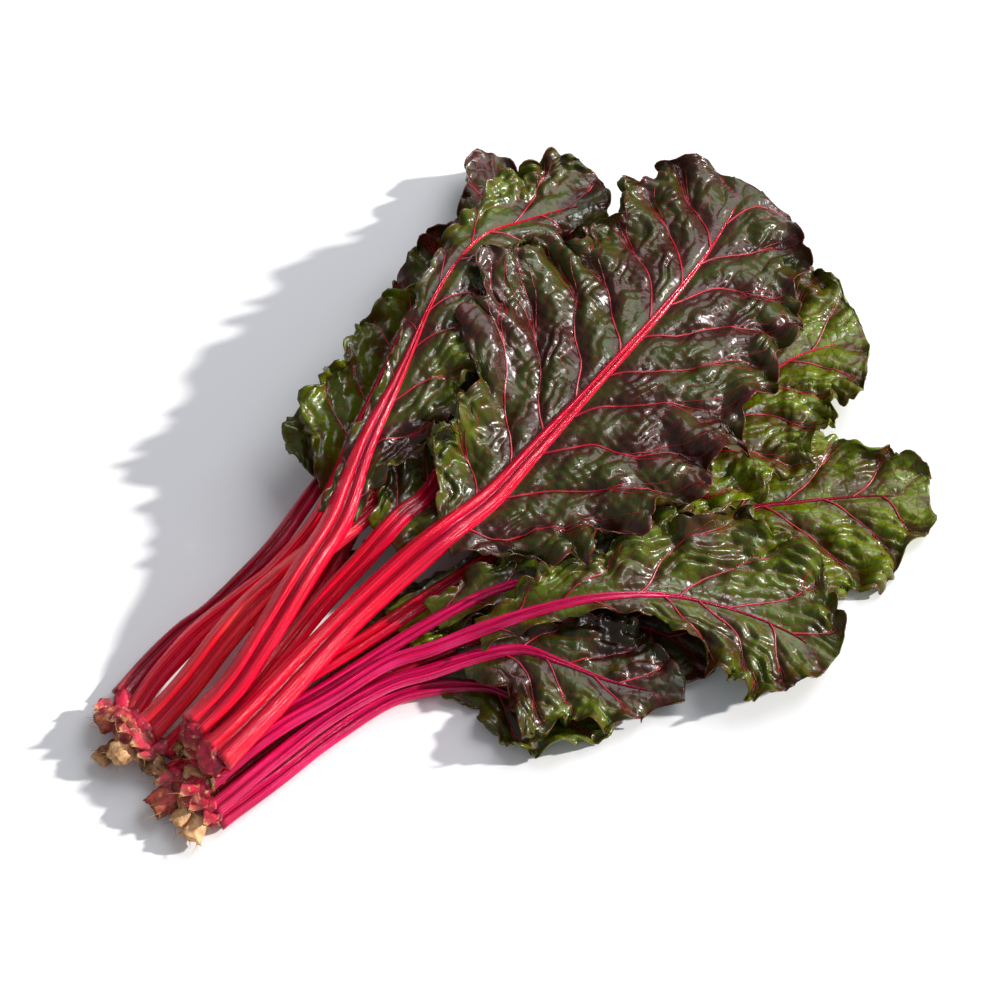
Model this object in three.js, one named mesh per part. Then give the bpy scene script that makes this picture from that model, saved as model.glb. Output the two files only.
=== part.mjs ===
// A bunch of red-stemmed Swiss chard lying on a table: fourteen leaves from three cut crowns.
// Every leaf has a stalk that runs on as its midrib, and a thin ruffled blade on both sides of it.
// The leaves are laid down one after another, each on top of whatever already lies there.
// Millimetres. +X runs from the cut ends to the leaf tips, +Z is up, and z = 0 is the table.
import * as THREE from 'three';
import { mergeVertices } from 'three/addons/utils/BufferGeometryUtils.js';

// ---------------------------------------------------------------- driving dimensions

const BUNCH_CENTRE = [-7.1, -4.5];   // middle of the finished bunch in the plan that is drawn below
const BLADE_THICKNESS = 0.8;
const BLADE_TO_RIB_GAP = 0.4;       // between a blade's inner edge and its own midrib
const LEAF_GAP = 1.2;               // air between a leaf and what it lies on
const RIB_END = 0.93;               // how far along its route a midrib can still be told apart
const RIB_DEPTH_TO_WIDTH = 0.54;
const RIB_LEAST_DEPTH = 1.6;
const TIP_REACH = 9;                // a blade goes on this far past the end of its route
const TIP_ROWS = [0.5, 0.82, 0.98]; // its rows there, as shares of that reach
const STALK_STEP = 13;              // spacing of the cross-sections of a bare stalk
const BLADE_STEP = 11.5;            // spacing of the rows of a blade
const BLADE_CELL = 12;              // width of a blade's cells, from midrib to margin
const DIRECTION_SPAN = 16;          // a leaf's direction is taken over this much either side
const LOBE_DEPTH = 0.07;            // how far the margin swings in and out, as a share of the width
const LOBE_LENGTH = 31;

const COLOURS = {
  crimson: 0xb3122b,
  magenta: 0xb01a4f,
  salmon: 0xc23040,
  wine: 0x6d1026,
  purple: 0x3a2226,
  purpleGreen: 0x3d3a24,
  green: 0x3f5a1d,
  brightGreen: 0x5b7f24,
  tan: 0xa8794a,
};

// The crowns are the stubs of root that the stalks were cut or torn off with.
//   y            the middle of the crown across the bunch
//   size         its length, breadth and height
//   stubs        short ends of leaves taken off earlier: where each points, its reach and its radius
const CROWNS = [
  {
    name: 'crown_left', y: 32, size: [19, 31, 20],
    stubs: [
      { towards: [-9, 14, 0], reach: 17, radius: 5 },
      { towards: [-20, -4, -2], reach: 20, radius: 5.5 },
      { towards: [-7, -19, 0], reach: 20, radius: 4.5 },
    ],
  },
  {
    name: 'crown_lower', y: -13, size: [16, 29, 20],
    stubs: [
      { towards: [-8, -5, 0], reach: 12, radius: 4.5 },
      { towards: [-9, -14, 0], reach: 17, radius: 4.5 },
      { towards: [-10, 10, 2], reach: 16, radius: 5 },
    ],
  },
  {
    name: 'crown_middle', y: -2, size: [10, 25, 17],
    stubs: [
      { towards: [-10, -1, 1], reach: 7, radius: 8 },
      { towards: [-3, 13, 7], reach: 17, radius: 2.5 },
    ],
  },
];
const CROWN_LUMPS = 0.07;           // how far its surface swells and sinks, as a share of its size
const CROWN_TO_STALK_GAP = 0.4;
const CROWN_DETAIL = 5;             // how finely its surface is cut into facets
const CROWN_FACE = 0.22;            // where the stalks leave it, as a share of its length past its middle
const CROWN_BASE = 0.36;            // where it lies, as a share of its height below its middle

// The leaves, from the lowest in the heap to the topmost.
//   route        the stalk and midrib in plan, from the cut end to the tip
//   width        the stalk's width at even steps along the route
//   from         how far along the route the blade begins
//   left, right  the blade's half-widths at even steps from there to the end of the route
//   lift         how high the springy stalk holds itself, at even steps along the route
//   hang         how far the left and the right margin hang below the midrib
//   ruffle       the height and the length of the waves along the margin
const LEAVES = [
  {
    name: 'low_front', crown: 'crown_lower', stalk: 'magenta', blade: 'green',
    route: [
      [-202, -29], [-166, -31], [-136, -32], [-105, -36], [-85, -45],
      [-65, -62], [-57, -79], [-47, -94], [-32, -105],
    ],
    width: [8.5, 8.5, 8.5, 8, 5, 3],
    from: 124, left: [5, 14, 22, 27, 29, 27, 23, 17, 10], right: [6, 8, 12, 22, 25, 25, 23, 19, 17],
    lift: [0, 0], hang: [3, 10], ruffle: [7, 34],
  },
  {
    name: 'low_shaded', crown: 'crown_lower', stalk: 'wine', blade: 'purple',
    route: [
      [-202, -18], [-167, -20], [-132, -24], [-97, -32], [-64, -43],
      [-36, -55], [-9, -67], [12, -90], [22, -119],
    ],
    width: [8.5, 8.5, 8.5, 8, 5, 3],
    from: 138, left: [5, 14, 24, 30, 34, 34, 30, 25, 14], right: [6, 8, 11, 19, 25, 27, 28, 26, 18],
    lift: [0, 0, 3], hang: [5, 14], ruffle: [5, 38],
  },
  {
    name: 'far_purple', crown: 'crown_left', stalk: 'crimson', blade: 'purple',
    route: [
      [-199, 14], [-172, 17], [-140, 20], [-112, 24], [-80, 32], [-45, 48],
      [-9, 74], [27, 89], [62, 102], [90, 115], [111, 129], [124, 145],
    ],
    width: [8.5, 9, 9.5, 9, 6, 3],
    from: 156, left: [8, 9, 10, 15, 22, 29, 16, 14, 14], right: [6, 14, 22, 28, 31, 31, 29, 24, 14],
    lift: [4, 7, 11, 15, 20, 23, 12], hang: [0, 60], ruffle: [7, 36],
  },
  {
    name: 'far_small', crown: 'crown_left', stalk: 'wine', blade: 'green',
    route: [
      [-197, 50], [-177, 53], [-155, 54], [-139, 52], [-115, 53], [-94, 55],
      [-65, 62], [-47, 67], [-27, 78], [-7, 88], [12, 97],
    ],
    width: [8, 8.5, 8.5, 8, 6, 3],
    from: 140, left: [13, 25, 25, 22, 18, 14, 11, 8, 6], right: [6, 12, 16, 20, 22, 22, 19, 15, 9],
    lift: [0, 8, 15, 21, 26, 26, 22], hang: [-2, 10], ruffle: [6, 33],
  },
  {
    name: 'left_green', crown: 'crown_left', stalk: 'crimson', blade: 'green',
    route: [
      [-199, 38], [-184, 42], [-168, 44], [-149, 45], [-122, 43], [-104, 42], [-77, 46],
      [-55, 54], [-30, 68], [-7, 80], [16, 92], [42, 104], [63, 110],
    ],
    width: [9, 11, 11.5, 9.5, 6, 3],
    from: 140, left: [7, 15, 30, 25, 22, 18, 14, 3, 3], right: [7, 15, 20, 24, 25, 23, 20, 15, 9],
    lift: [0, 12, 18, 23, 27, 27, 24], hang: [-6, 10], ruffle: [8, 35],
  },
  {
    name: 'under_middle', crown: 'crown_left', stalk: 'salmon', blade: 'purpleGreen',
    route: [
      [-199, 26], [-172, 28], [-146, 32], [-124, 34], [-101, 34],
      [-85, 34], [-59, 34], [-13, 37], [39, 43], [86, 51],
    ],
    width: [14, 14, 13, 10.5, 6.5, 3],
    from: 147, left: [5, 12, 20, 26, 29, 29, 26, 22, 15], right: [10, 16, 19, 20, 22, 23, 23, 22, 14],
    lift: [0, 0, 8, 14], hang: [4, 4], ruffle: [4, 40],
  },
  {
    name: 'right_tip', crown: 'crown_lower', stalk: 'wine', blade: 'brightGreen',
    route: [
      [-203, -7], [-170, -9], [-135, -11], [-95, -16], [-50, -27], [-10, -42],
      [36, -61], [84, -76], [112, -93], [136, -110], [156, -127],
    ],
    width: [8.5, 8.5, 8.5, 8, 5, 2.6],
    from: 181, left: [6, 10, 16, 24, 30, 34, 36, 30, 20], right: [16, 18, 20, 23, 28, 40, 51, 49, 28],
    lift: [0, 0, 10, 8, 4], hang: [5, 18], ruffle: [7, 37],
  },
  {
    name: 'right_green', crown: 'crown_lower', stalk: 'crimson', blade: 'brightGreen',
    route: [
      [-203, 4], [-170, 2], [-135, -2], [-95, -9], [-50, -15], [-10, -21],
      [33, -35], [89, -38], [152, -37], [175, -43], [188, -49],
    ],
    width: [8.5, 9, 9.5, 9, 5.5, 2.6],
    from: 125, left: [-9, -6, 1, 21, 31, 37, 42, 46, 47], right: [22, 25, 27, 24, 30, 41, 48, 38, 29],
    lift: [0, 0, 10, 20, 24, 20, 14], hang: [5, 4], ruffle: [9, 36],
  },
  {
    name: 'narrow_wing', crown: 'crown_lower', stalk: 'magenta', blade: 'green',
    route: [
      [-193, -4], [-150, -10], [-121, -16], [-91, -21], [-68, -26],
      [-37, -35], [-16, -45], [18, -65], [50, -79],
    ],
    width: [7, 6.5, 6.5, 6, 5, 3],
    from: 129, left: [7, 10, 13, 17, 19, 21, 22, 20, 15], right: [5, 5, 7, 8, 10, 11, 10, 9, 6],
    lift: [0, 0, 6, 12], hang: [2, 4], ruffle: [6, 33],
  },
  {
    name: 'front_purple', crown: 'crown_lower', stalk: 'magenta', blade: 'purple',
    route: [
      [-201, -25], [-161, -26], [-132, -28], [-102, -34], [-82, -43], [-61, -52],
      [-43, -63], [-33, -80], [-23, -99], [-12, -115], [-5, -123],
    ],
    width: [8.5, 7.5, 7.5, 7.5, 5, 2.6],
    from: 136, left: [4, 4, 7, 14, 23, 29, 30, 26, 16], right: [7, 14, 27, 43, 38, 27, 21, 14, 6],
    lift: [0, 0, 5, 10], hang: [4, 9], ruffle: [6, 35],
  },
  {
    name: 'lower_right', crown: 'crown_lower', stalk: 'magenta', blade: 'green',
    route: [
      [-197, -14], [-157, -17], [-127, -23], [-97, -28], [-77, -37], [-52, -47], [-20, -63],
      [3, -77], [24, -93], [40, -111], [51, -127], [59, -144], [61, -156],
    ],
    width: [8.5, 7, 7, 7, 5.5, 2.6],
    from: 146, left: [0, 10, 20, 23, 33, 39, 50, 38, 23], right: [8, 7, 6, 6, 10, 20, 35, 40, 27],
    lift: [0, 0, 10, 30, 34, 22, 8], hang: [2, 8], ruffle: [8, 36],
  },
  {
    name: 'middle', crown: 'crown_middle', stalk: 'crimson', blade: 'green',
    route: [
      [-185, 5], [-150, 7], [-100, 16], [-68, 18], [-45, 20], [-24, 22],
      [18, 42], [55, 57], [91, 72], [121, 83], [145, 92],
    ],
    width: [9, 10, 10.5, 9, 6, 3],
    from: 128, left: [7, 29, 27, 22, 22, 24, 22, 18, 12], right: [11, 15, 18, 27, 31, 32, 31, 21, 9],
    lift: [0, 0, 12, 24], hang: [5, 4], ruffle: [7, 34],
  },
  {
    name: 'left_arched', crown: 'crown_middle', stalk: 'crimson', blade: 'purpleGreen',
    route: [
      [-184, 8], [-158, 10], [-134, 16], [-94, 28], [-70, 36], [-39, 53], [-1, 70],
      [33, 86], [57, 95], [80, 100], [100, 96], [121, 90], [136, 83],
    ],
    width: [13, 14, 14, 11, 7, 2.6],
    from: 118, left: [9, 7, 7, 8, 8, 10, 14, 29, 28], right: [3, 16, 30, 34, 32, 14, 15, 15, 5],
    lift: [0, 30, 34, 40, 52, 62, 50, 38], hang: [9, 12], ruffle: [6, 34],
  },
  {
    name: 'top_broad', crown: 'crown_middle', stalk: 'crimson', blade: 'purple',
    route: [
      [-186, -11], [-160, -9], [-105, -2], [-63, -1], [-15, -3], [20, 1],
      [63, 6], [110, 13], [153, 23], [182, 33], [196, 38],
    ],
    width: [17, 15.5, 14.5, 12, 7.5, 2.6],
    from: 146, left: [4, 35, 37, 65, 80, 67, 51, 50, 45], right: [8, 45, 61, 68, 71, 66, 59, 49, 37],
    lift: [0, 22, 28, 36, 42, 46, 42, 34], hang: [4, 12], ruffle: [9, 38],
  },
];

// ---------------------------------------------------------------- curves and profiles

// A smooth value at t (0 to 1) through evenly spaced ones.
function evenly(values, t) {
  const last = values.length - 1;
  const place = THREE.MathUtils.clamp(t, 0, 1) * last;
  const i = Math.min(Math.floor(place), last - 1);
  const f = place - i;
  const before = values[Math.max(i - 1, 0)];
  const after = values[Math.min(i + 2, last)];
  const [a, b] = [values[i], values[i + 1]];
  const bend = (2 * before - 5 * a + 4 * b - after) * f * f + (3 * a - before - 3 * b + after) * f * f * f;
  return a + 0.5 * ((b - before) * f + bend);
}

// A route in plan, measured along its length, that goes straight on past both of its ends.
class Route {
  constructor(points) {
    const stations = points.map(([x, y]) => new THREE.Vector3(x, y, 0));
    const curve = new THREE.CatmullRomCurve3(stations, false, 'catmullrom', 0.5);
    this.points = curve.getPoints(24 * (points.length - 1));
    this.lengths = [0];
    for (let i = 1; i < this.points.length; i += 1) {
      this.lengths.push(this.lengths[i - 1] + this.points[i].distanceTo(this.points[i - 1]));
    }
    this.length = this.lengths[this.lengths.length - 1];
  }

  at(s) {
    const last = this.points.length - 1;
    let i = 1;
    while (i < last && this.lengths[i] < s) {
      i += 1;
    }
    const f = (s - this.lengths[i - 1]) / (this.lengths[i] - this.lengths[i - 1]);
    return new THREE.Vector3().lerpVectors(this.points[i - 1], this.points[i], f);
  }

  // The direction across the leaf, to its left.
  across(s) {
    const along = this.at(s + DIRECTION_SPAN).sub(this.at(s - DIRECTION_SPAN)).normalize();
    return new THREE.Vector3(-along.y, along.x, 0);
  }
}

// ---------------------------------------------------------------- the heap

// The height of whatever has been laid down so far, on a square grid in plan.
class Heap {
  constructor() {
    this.cell = 1.2;
    this.reach = 330;
    this.side = Math.ceil((2 * this.reach) / this.cell);
    this.tops = new Float32Array(this.side * this.side);
  }

  index(x, y) {
    const i = Math.round((x + this.reach) / this.cell);
    const j = Math.round((y + this.reach) / this.cell);
    return [i, j];
  }

  top(x, y) {
    const [i, j] = this.index(x, y);
    let highest = 0;
    for (let a = i - 1; a <= i + 1; a += 1) {
      for (let b = j - 1; b <= j + 1; b += 1) {
        highest = Math.max(highest, this.tops[a * this.side + b]);
      }
    }
    return highest;
  }

  // The lowest that something may lie here: on the table, or clear of what is below.
  floor(x, y) {
    const top = this.top(x, y);
    return top > 0 ? top + LEAF_GAP : 0;
  }

  raise(x, y, z) {
    const [i, j] = this.index(x, y);
    const k = i * this.side + j;
    this.tops[k] = Math.max(this.tops[k], z);
  }

  // Lays a mesh's triangles down.
  add(solid) {
    for (const triangle of solid.triangles) {
      const corners = triangle.map((k) => solid.vertices[k]);
      for (const weights of samples(corners, this.cell * 0.8)) {
        const point = blend(corners, weights);
        this.raise(point.x, point.y, point.z);
      }
    }
  }
}

// Weights that spread points over a triangle, no further apart than a step.
function samples(corners, step) {
  const longest = Math.max(
    corners[0].distanceTo(corners[1]),
    corners[1].distanceTo(corners[2]),
    corners[2].distanceTo(corners[0]),
  );
  const n = Math.max(1, Math.ceil(longest / step));
  const weights = [];
  for (let i = 0; i <= n; i += 1) {
    for (let j = 0; j <= n - i; j += 1) {
      weights.push([i / n, j / n, (n - i - j) / n]);
    }
  }
  return weights;
}

function blend(corners, weights) {
  const point = new THREE.Vector3();
  corners.forEach((corner, k) => point.addScaledVector(corner, weights[k]));
  return point;
}

// ---------------------------------------------------------------- solids

function toMesh(solid, name, colour, roughness) {
  const geometry = new THREE.BufferGeometry();
  const numbers = solid.vertices.flatMap((v) => [v.x - BUNCH_CENTRE[0], v.y - BUNCH_CENTRE[1], v.z]);
  geometry.setAttribute('position', new THREE.Float32BufferAttribute(numbers, 3));
  geometry.setIndex(solid.triangles.flat());
  geometry.computeVertexNormals();
  const material = new THREE.MeshStandardMaterial({ color: colour, roughness, metalness: 0 });
  const mesh = new THREE.Mesh(geometry, material);
  mesh.name = name;
  return mesh;
}

// Joins rings of equal numbers of points into one closed solid with flat ends.
function sweep(rings) {
  const count = rings[0].length;
  const vertices = rings.flat();
  const triangles = [];
  for (let r = 0; r < rings.length - 1; r += 1) {
    for (let k = 0; k < count; k += 1) {
      const a = r * count + k;
      const b = r * count + ((k + 1) % count);
      triangles.push([a, b + count, b], [a, a + count, b + count]);
    }
  }
  const lastRing = (rings.length - 1) * count;
  for (let k = 1; k < count - 1; k += 1) {
    triangles.push([0, k, k + 1], [lastRing, lastRing + k + 1, lastRing + k]);
  }
  return { vertices, triangles };
}

// A stalk's cross-section from its left edge, under it and back over its grooved top.
// The first number is a share of the width, the second a share of the depth.
const STALK_SECTION = [
  [0.5, 0], [0.34, -0.68], [0.12, -1], [-0.12, -1], [-0.34, -0.68], [-0.5, 0], [-0.27, 0.14], [0, 0.02], [0.27, 0.14],
];

function stalkWidth(leaf, s) {
  return evenly(leaf.width, s / leaf.path.length);
}

function stalkDepth(leaf, s) {
  return Math.max(RIB_LEAST_DEPTH, RIB_DEPTH_TO_WIDTH * stalkWidth(leaf, s));
}

// How far a stalk reaches below its edge at b mm from its middle.
function stalkBelow(leaf, s, b) {
  const share = Math.min(1, Math.abs(b) / (0.5 * stalkWidth(leaf, s)));
  return stalkDepth(leaf, s) * Math.sqrt(1 - share * share);
}

// ---------------------------------------------------------------- laying a stalk down

const LAY_STEP = 4;
const STALK_STIFFNESS = 260;        // rounds of smoothing: more gives a straighter stalk
const RIB_STIFFNESS = 70;
const BLADE_ROOT = 4;               // the blade beside the rib is kept clear this far out with it
const RUN_STEP = 2;
const RUN_ROUNDS = 3;

// The lowest that a stalk's edges may be, so far along its route.
function leastEdge(leaf, heap, s) {
  const middle = leaf.path.at(s);
  const across = leaf.path.across(s);
  const half = stalkWidth(leaf, s) / 2;
  const beside = s > leaf.from ? BLADE_ROOT : 0;
  let height = 0;
  for (let b = -half - beside; b <= half + beside; b += 1) {
    const point = middle.clone().addScaledVector(across, b);
    const below = Math.abs(b) < half ? stalkBelow(leaf, s, b) : 0;
    height = Math.max(height, heap.floor(point.x, point.y) + below);
  }
  return height;
}

// The height of a stalk's edge along its route: a stiff line over everything below it,
// held down at its cut end by the crown.
function layStalk(leaf, heap) {
  const count = Math.ceil((leaf.path.length + TIP_REACH) / LAY_STEP) + 1;
  const stations = Array.from({ length: count }, (_, i) => i * LAY_STEP);
  const least = stations.map((s) => {
    const lift = evenly(leaf.lift, s / leaf.path.length);
    return Math.max(lift, leastEdge(leaf, heap, s));
  });
  let line = least.slice();
  for (let round = 0; round < STALK_STIFFNESS; round += 1) {
    line = line.map((z, i) => {
      const soft = stations[i] > leaf.from && round >= RIB_STIFFNESS;
      if (i === 0 || soft) {
        return z;
      }
      const after = line[Math.min(i + 1, count - 1)];
      return Math.max(least[i], 0.5 * z + 0.25 * (line[i - 1] + after));
    });
  }
  leaf.heights = line;
}

// The heights of a stalk's rows, raised until the straight runs between them are clear as well.
function rowHeights(leaf, rows, heap) {
  const heights = rows.map((s) => edgeHeight(leaf, s));
  for (let round = 0; round < RUN_ROUNDS; round += 1) {
    for (let k = 0; k < rows.length - 1; k += 1) {
      const run = rows[k + 1] - rows[k];
      for (let s = rows[k]; s <= rows[k + 1]; s += RUN_STEP) {
        const f = (s - rows[k]) / run;
        const short = leastEdge(leaf, heap, s) - THREE.MathUtils.lerp(heights[k], heights[k + 1], f);
        if (short > 0) {
          heights[k] += (1 - f) * short;
          heights[k + 1] += f * short;
        }
      }
    }
  }
  return heights;
}

function edgeHeight(leaf, s) {
  const place = THREE.MathUtils.clamp(s / LAY_STEP, 0, leaf.heights.length - 1.001);
  const i = Math.floor(place);
  return THREE.MathUtils.lerp(leaf.heights[i], leaf.heights[i + 1], place - i);
}

// ---------------------------------------------------------------- the pieces of a leaf

// The stations of the rows: a bare stalk has long steps, and a bladed rib the blade's own rows.
function rowStations(leaf) {
  const bare = Math.round(leaf.from / STALK_STEP);
  const stalkRows = Array.from({ length: bare }, (_, i) => (i * leaf.from) / bare);
  const bladeLength = leaf.path.length - leaf.from;
  const steps = Math.round(bladeLength / BLADE_STEP);
  const bladeRows = Array.from({ length: steps + 1 }, (_, i) => leaf.from + (i * bladeLength) / steps);
  const ribRows = bladeRows.filter((s) => s <= leaf.path.length * RIB_END);
  const tipRows = TIP_ROWS.map((share) => leaf.path.length + share * TIP_REACH);
  return { stalkRows, ribRows, bladeRows: [...bladeRows, ...tipRows] };
}

function stalkSolid(leaf, heap) {
  const { stalkRows, ribRows } = rowStations(leaf);
  const rows = [...stalkRows, ...ribRows];
  const heights = rowHeights(leaf, rows, heap);
  const rings = rows.map((s, row) => {
    const middle = leaf.path.at(s);
    const across = leaf.path.across(s);
    return STALK_SECTION.map(([side, up]) => {
      const point = middle.clone().addScaledVector(across, side * stalkWidth(leaf, s));
      point.z = heights[row] + up * stalkDepth(leaf, s);
      return point;
    });
  });
  return sweep(rings);
}

// The distance from the midrib to the margin, with its lobes and its rounded tip.
function marginWidth(leaf, side, s) {
  const values = side > 0 ? leaf.left : leaf.right;
  const bladeLength = leaf.path.length - leaf.from;
  const t = (s - leaf.from) / bladeLength;
  const past = Math.max(0, (s - leaf.path.length) / TIP_REACH);
  const lobes = 1 + LOBE_DEPTH * Math.sin((2 * Math.PI * s) / LOBE_LENGTH + leaf.phase + side);
  return evenly(values, t) * lobes * Math.sqrt(Math.max(0, 1 - past * past));
}

const WAVE_MEAN = 0.4;
const LONG_WAVE_SHARE = 0.34;
const SHORT_WAVE_SHARE = 0.16;
const RUFFLE_ONSET = 1.6;           // more keeps the waves closer to the margin

// The waves of the margin, mostly upwards from where the blade would lie.
function ruffleHeight(leaf, side, s, share) {
  const [height, length] = leaf.ruffle;
  const long = Math.sin((2 * Math.PI * s) / length + leaf.phase + 2 * side + 1.2 * share);
  const short = Math.sin((2 * Math.PI * s) / (0.7 * length) + 2 * leaf.phase - side);
  const begin = Math.min(1, (s - leaf.from) / 25);
  const wave = LONG_WAVE_SHARE * long + SHORT_WAVE_SHARE * short;
  return height * begin * share ** RUFFLE_ONSET * (WAVE_MEAN + wave);
}

// One blade: a grid of rows across the leaf, split down the middle as far as the midrib reaches.
function bladeSheet(leaf) {
  const { bladeRows, ribRows } = rowStations(leaf);
  const widest = (values) => Math.max(...values);
  const cells = {
    1: Math.max(2, Math.round(widest(leaf.left) / BLADE_CELL)),
    [-1]: Math.max(2, Math.round(widest(leaf.right) / BLADE_CELL)),
  };
  const columns = [];
  for (let j = cells[1]; j >= 0; j -= 1) {
    columns.push([1, j / cells[1]]);
  }
  for (let j = 0; j <= cells[-1]; j += 1) {
    columns.push([-1, j / cells[-1]]);
  }
  const nodes = [];
  bladeRows.forEach((s, row) => {
    const middle = leaf.path.at(s);
    const across = leaf.path.across(s);
    const ribbed = row < ribRows.length;
    const inner = ribbed ? stalkWidth(leaf, s) / 2 + BLADE_TO_RIB_GAP : 1;
    for (const [side, share] of columns) {
      const outer = Math.max(marginWidth(leaf, side, s), inner + 2);
      const b = inner + (outer - inner) * share;
      const point = middle.clone().addScaledVector(across, side * b);
      const hang = leaf.hang[side > 0 ? 0 : 1] * share ** 2;
      nodes.push({ x: point.x, y: point.y, rest: edgeHeight(leaf, s) - hang, side, share, s });
    }
  });
  const triangles = [];
  const wide = columns.length;
  for (let row = 0; row < bladeRows.length - 1; row += 1) {
    for (let k = 0; k < wide - 1; k += 1) {
      const overRib = k === cells[1] && row < ribRows.length - 1;
      if (!overRib) {
        const a = row * wide + k;
        triangles.push([a, a + 1, a + wide], [a + 1, a + wide + 1, a + wide]);
      }
    }
  }
  return { nodes, triangles, wide, rows: bladeRows.length, split: [cells[1], ribRows.length - 1] };
}

const BLADE_SMOOTHING = 7;          // rounds that spread a bump below over the blade around it
const CLEARING_ROUNDS = 60;

// Lays a sheet over the heap: its underside is never lower than what is there.
function layBlade(leaf, sheet, heap) {
  const { nodes, wide, rows } = sheet;
  const near = 4;
  const least = nodes.map(({ x, y }) => {
    let height = heap.floor(x, y);
    for (const [dx, dy] of [[near, 0], [-near, 0], [0, near], [0, -near]]) {
      height = Math.max(height, heap.floor(x + dx, y + dy));
    }
    return height;
  });
  let height = nodes.map((node, k) => Math.max(node.rest, least[k]));
  for (let round = 0; round < BLADE_SMOOTHING; round += 1) {
    height = height.map((z, k) => {
      const row = Math.floor(k / wide);
      const column = k % wide;
      const around = [];
      if (row > 0) around.push(height[k - wide]);
      if (row < rows - 1) around.push(height[k + wide]);
      if (column > 0) around.push(height[k - 1]);
      if (column < wide - 1) around.push(height[k + 1]);
      const mean = around.reduce((sum, value) => sum + value, 0) / around.length;
      return Math.max(least[k], 0.5 * z + 0.5 * mean);
    });
  }
  nodes.forEach((node, k) => {
    const own = node.share === 0 ? Math.max(node.rest, least[k]) : height[k];
    node.z = own + ruffleHeight(leaf, node.side, node.s, node.share);
  });
  for (let round = 0; round < CLEARING_ROUNDS; round += 1) {
    if (!clearOnce(sheet, heap)) {
      break;
    }
  }
}

// Raises each triangle that dips into the heap, and says whether any did.
function clearOnce(sheet, heap) {
  let moved = false;
  for (const triangle of sheet.triangles) {
    const corners = triangle.map((k) => sheet.nodes[k]);
    const flat = corners.map(({ x, y, z }) => new THREE.Vector3(x, y, z));
    for (const weights of samples(flat, 1.2)) {
      const point = blend(corners.map(({ x, y, z }) => new THREE.Vector3(x, y, z)), weights);
      const short = heap.floor(point.x, point.y) - point.z;
      if (short > 0.001) {
        const spread = weights.reduce((sum, w) => sum + w * w, 0);
        corners.forEach((corner, k) => {
          corner.z += (short * weights[k]) / spread;
        });
        moved = true;
      }
    }
  }
  return moved;
}

// Gives a sheet its thickness: alike triangles over and under, and a wall round every edge.
function thicken(sheet) {
  const { nodes, triangles } = sheet;
  const steepness = nodes.map(() => 1);
  for (const triangle of triangles) {
    const [a, b, c] = triangle.map((k) => new THREE.Vector3(nodes[k].x, nodes[k].y, nodes[k].z));
    const normal = b.sub(a).cross(c.sub(a)).normalize();
    const upright = Math.max(0.42, Math.abs(normal.z));
    for (const k of triangle) {
      steepness[k] = Math.min(steepness[k], upright);
    }
  }
  const count = nodes.length;
  const under = nodes.map(({ x, y, z }) => new THREE.Vector3(x, y, z));
  const over = nodes.map(({ x, y, z }, k) => new THREE.Vector3(x, y, z + BLADE_THICKNESS / steepness[k]));
  const faces = [];
  const edges = new Map();
  for (const [a, b, c] of triangles) {
    faces.push([a, c, b], [a + count, b + count, c + count]);
    for (const [p, q] of [[a, b], [b, c], [c, a]]) {
      edges.set(`${p},${q}`, [p, q]);
    }
  }
  for (const [p, q] of edges.values()) {
    if (!edges.has(`${q},${p}`)) {
      faces.push([q + count, p + count, p], [q + count, p, q]);
    }
  }
  return { vertices: [...under, ...over], triangles: faces };
}

// ---------------------------------------------------------------- the crowns

// How far the crown's surface is from its middle, in one direction.
function crownRadius(crown, direction) {
  const { x, y, z } = direction;
  const [length, breadth, height] = crown.size;
  const core = 0.5 / Math.hypot(x / length, y / breadth, z / height);
  const swell = Math.sin(4 * x + crown.y) + Math.sin(6 * y - crown.y) + Math.sin(5 * z + 2 * crown.y);
  const reaches = crown.stubs.map(({ towards, reach, radius }) => {
    const turned = direction.angleTo(new THREE.Vector3(...towards));
    return turned < Math.PI / 2 ? Math.min(reach / Math.cos(turned), radius / Math.sin(turned)) : 0;
  });
  return Math.max(core * (1 + CROWN_LUMPS * swell), ...reaches);
}

// A lumpy piece with its stubs, flat where it lies and where the stalks leave it.
function crownSolid(crown, leaves, heap) {
  const starts = leaves.flatMap((leaf) => {
    const half = stalkWidth(leaf, 0) / 2;
    return [-half, half].map((b) => leaf.path.at(0).addScaledVector(leaf.path.across(0), b).x);
  });
  const middle = Math.min(...starts) - CROWN_TO_STALK_GAP - CROWN_FACE * crown.size[0];
  const ball = new THREE.IcosahedronGeometry(1, CROWN_DETAIL);
  ball.deleteAttribute('normal');
  ball.deleteAttribute('uv');
  const merged = mergeVertices(ball, 1e-4);
  const place = merged.getAttribute('position');
  const vertices = [];
  for (let k = 0; k < place.count; k += 1) {
    const point = new THREE.Vector3().fromBufferAttribute(place, k);
    point.multiplyScalar(crownRadius(crown, point));
    vertices.push(new THREE.Vector3(
      middle + Math.min(point.x, CROWN_FACE * crown.size[0]),
      crown.y + point.y,
      Math.max(point.z + CROWN_BASE * crown.size[2], 0),
    ));
  }
  const floor = Math.max(...vertices.map((point) => heap.floor(point.x, point.y)));
  vertices.forEach((point) => {
    point.z += floor;
  });
  const index = [...merged.getIndex().array];
  const triangles = [];
  for (let k = 0; k < index.length; k += 3) {
    triangles.push(index.slice(k, k + 3));
  }
  return { vertices, triangles };
}

// ---------------------------------------------------------------- the bunch

const bunch = new THREE.Group();
const heap = new Heap();

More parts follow.
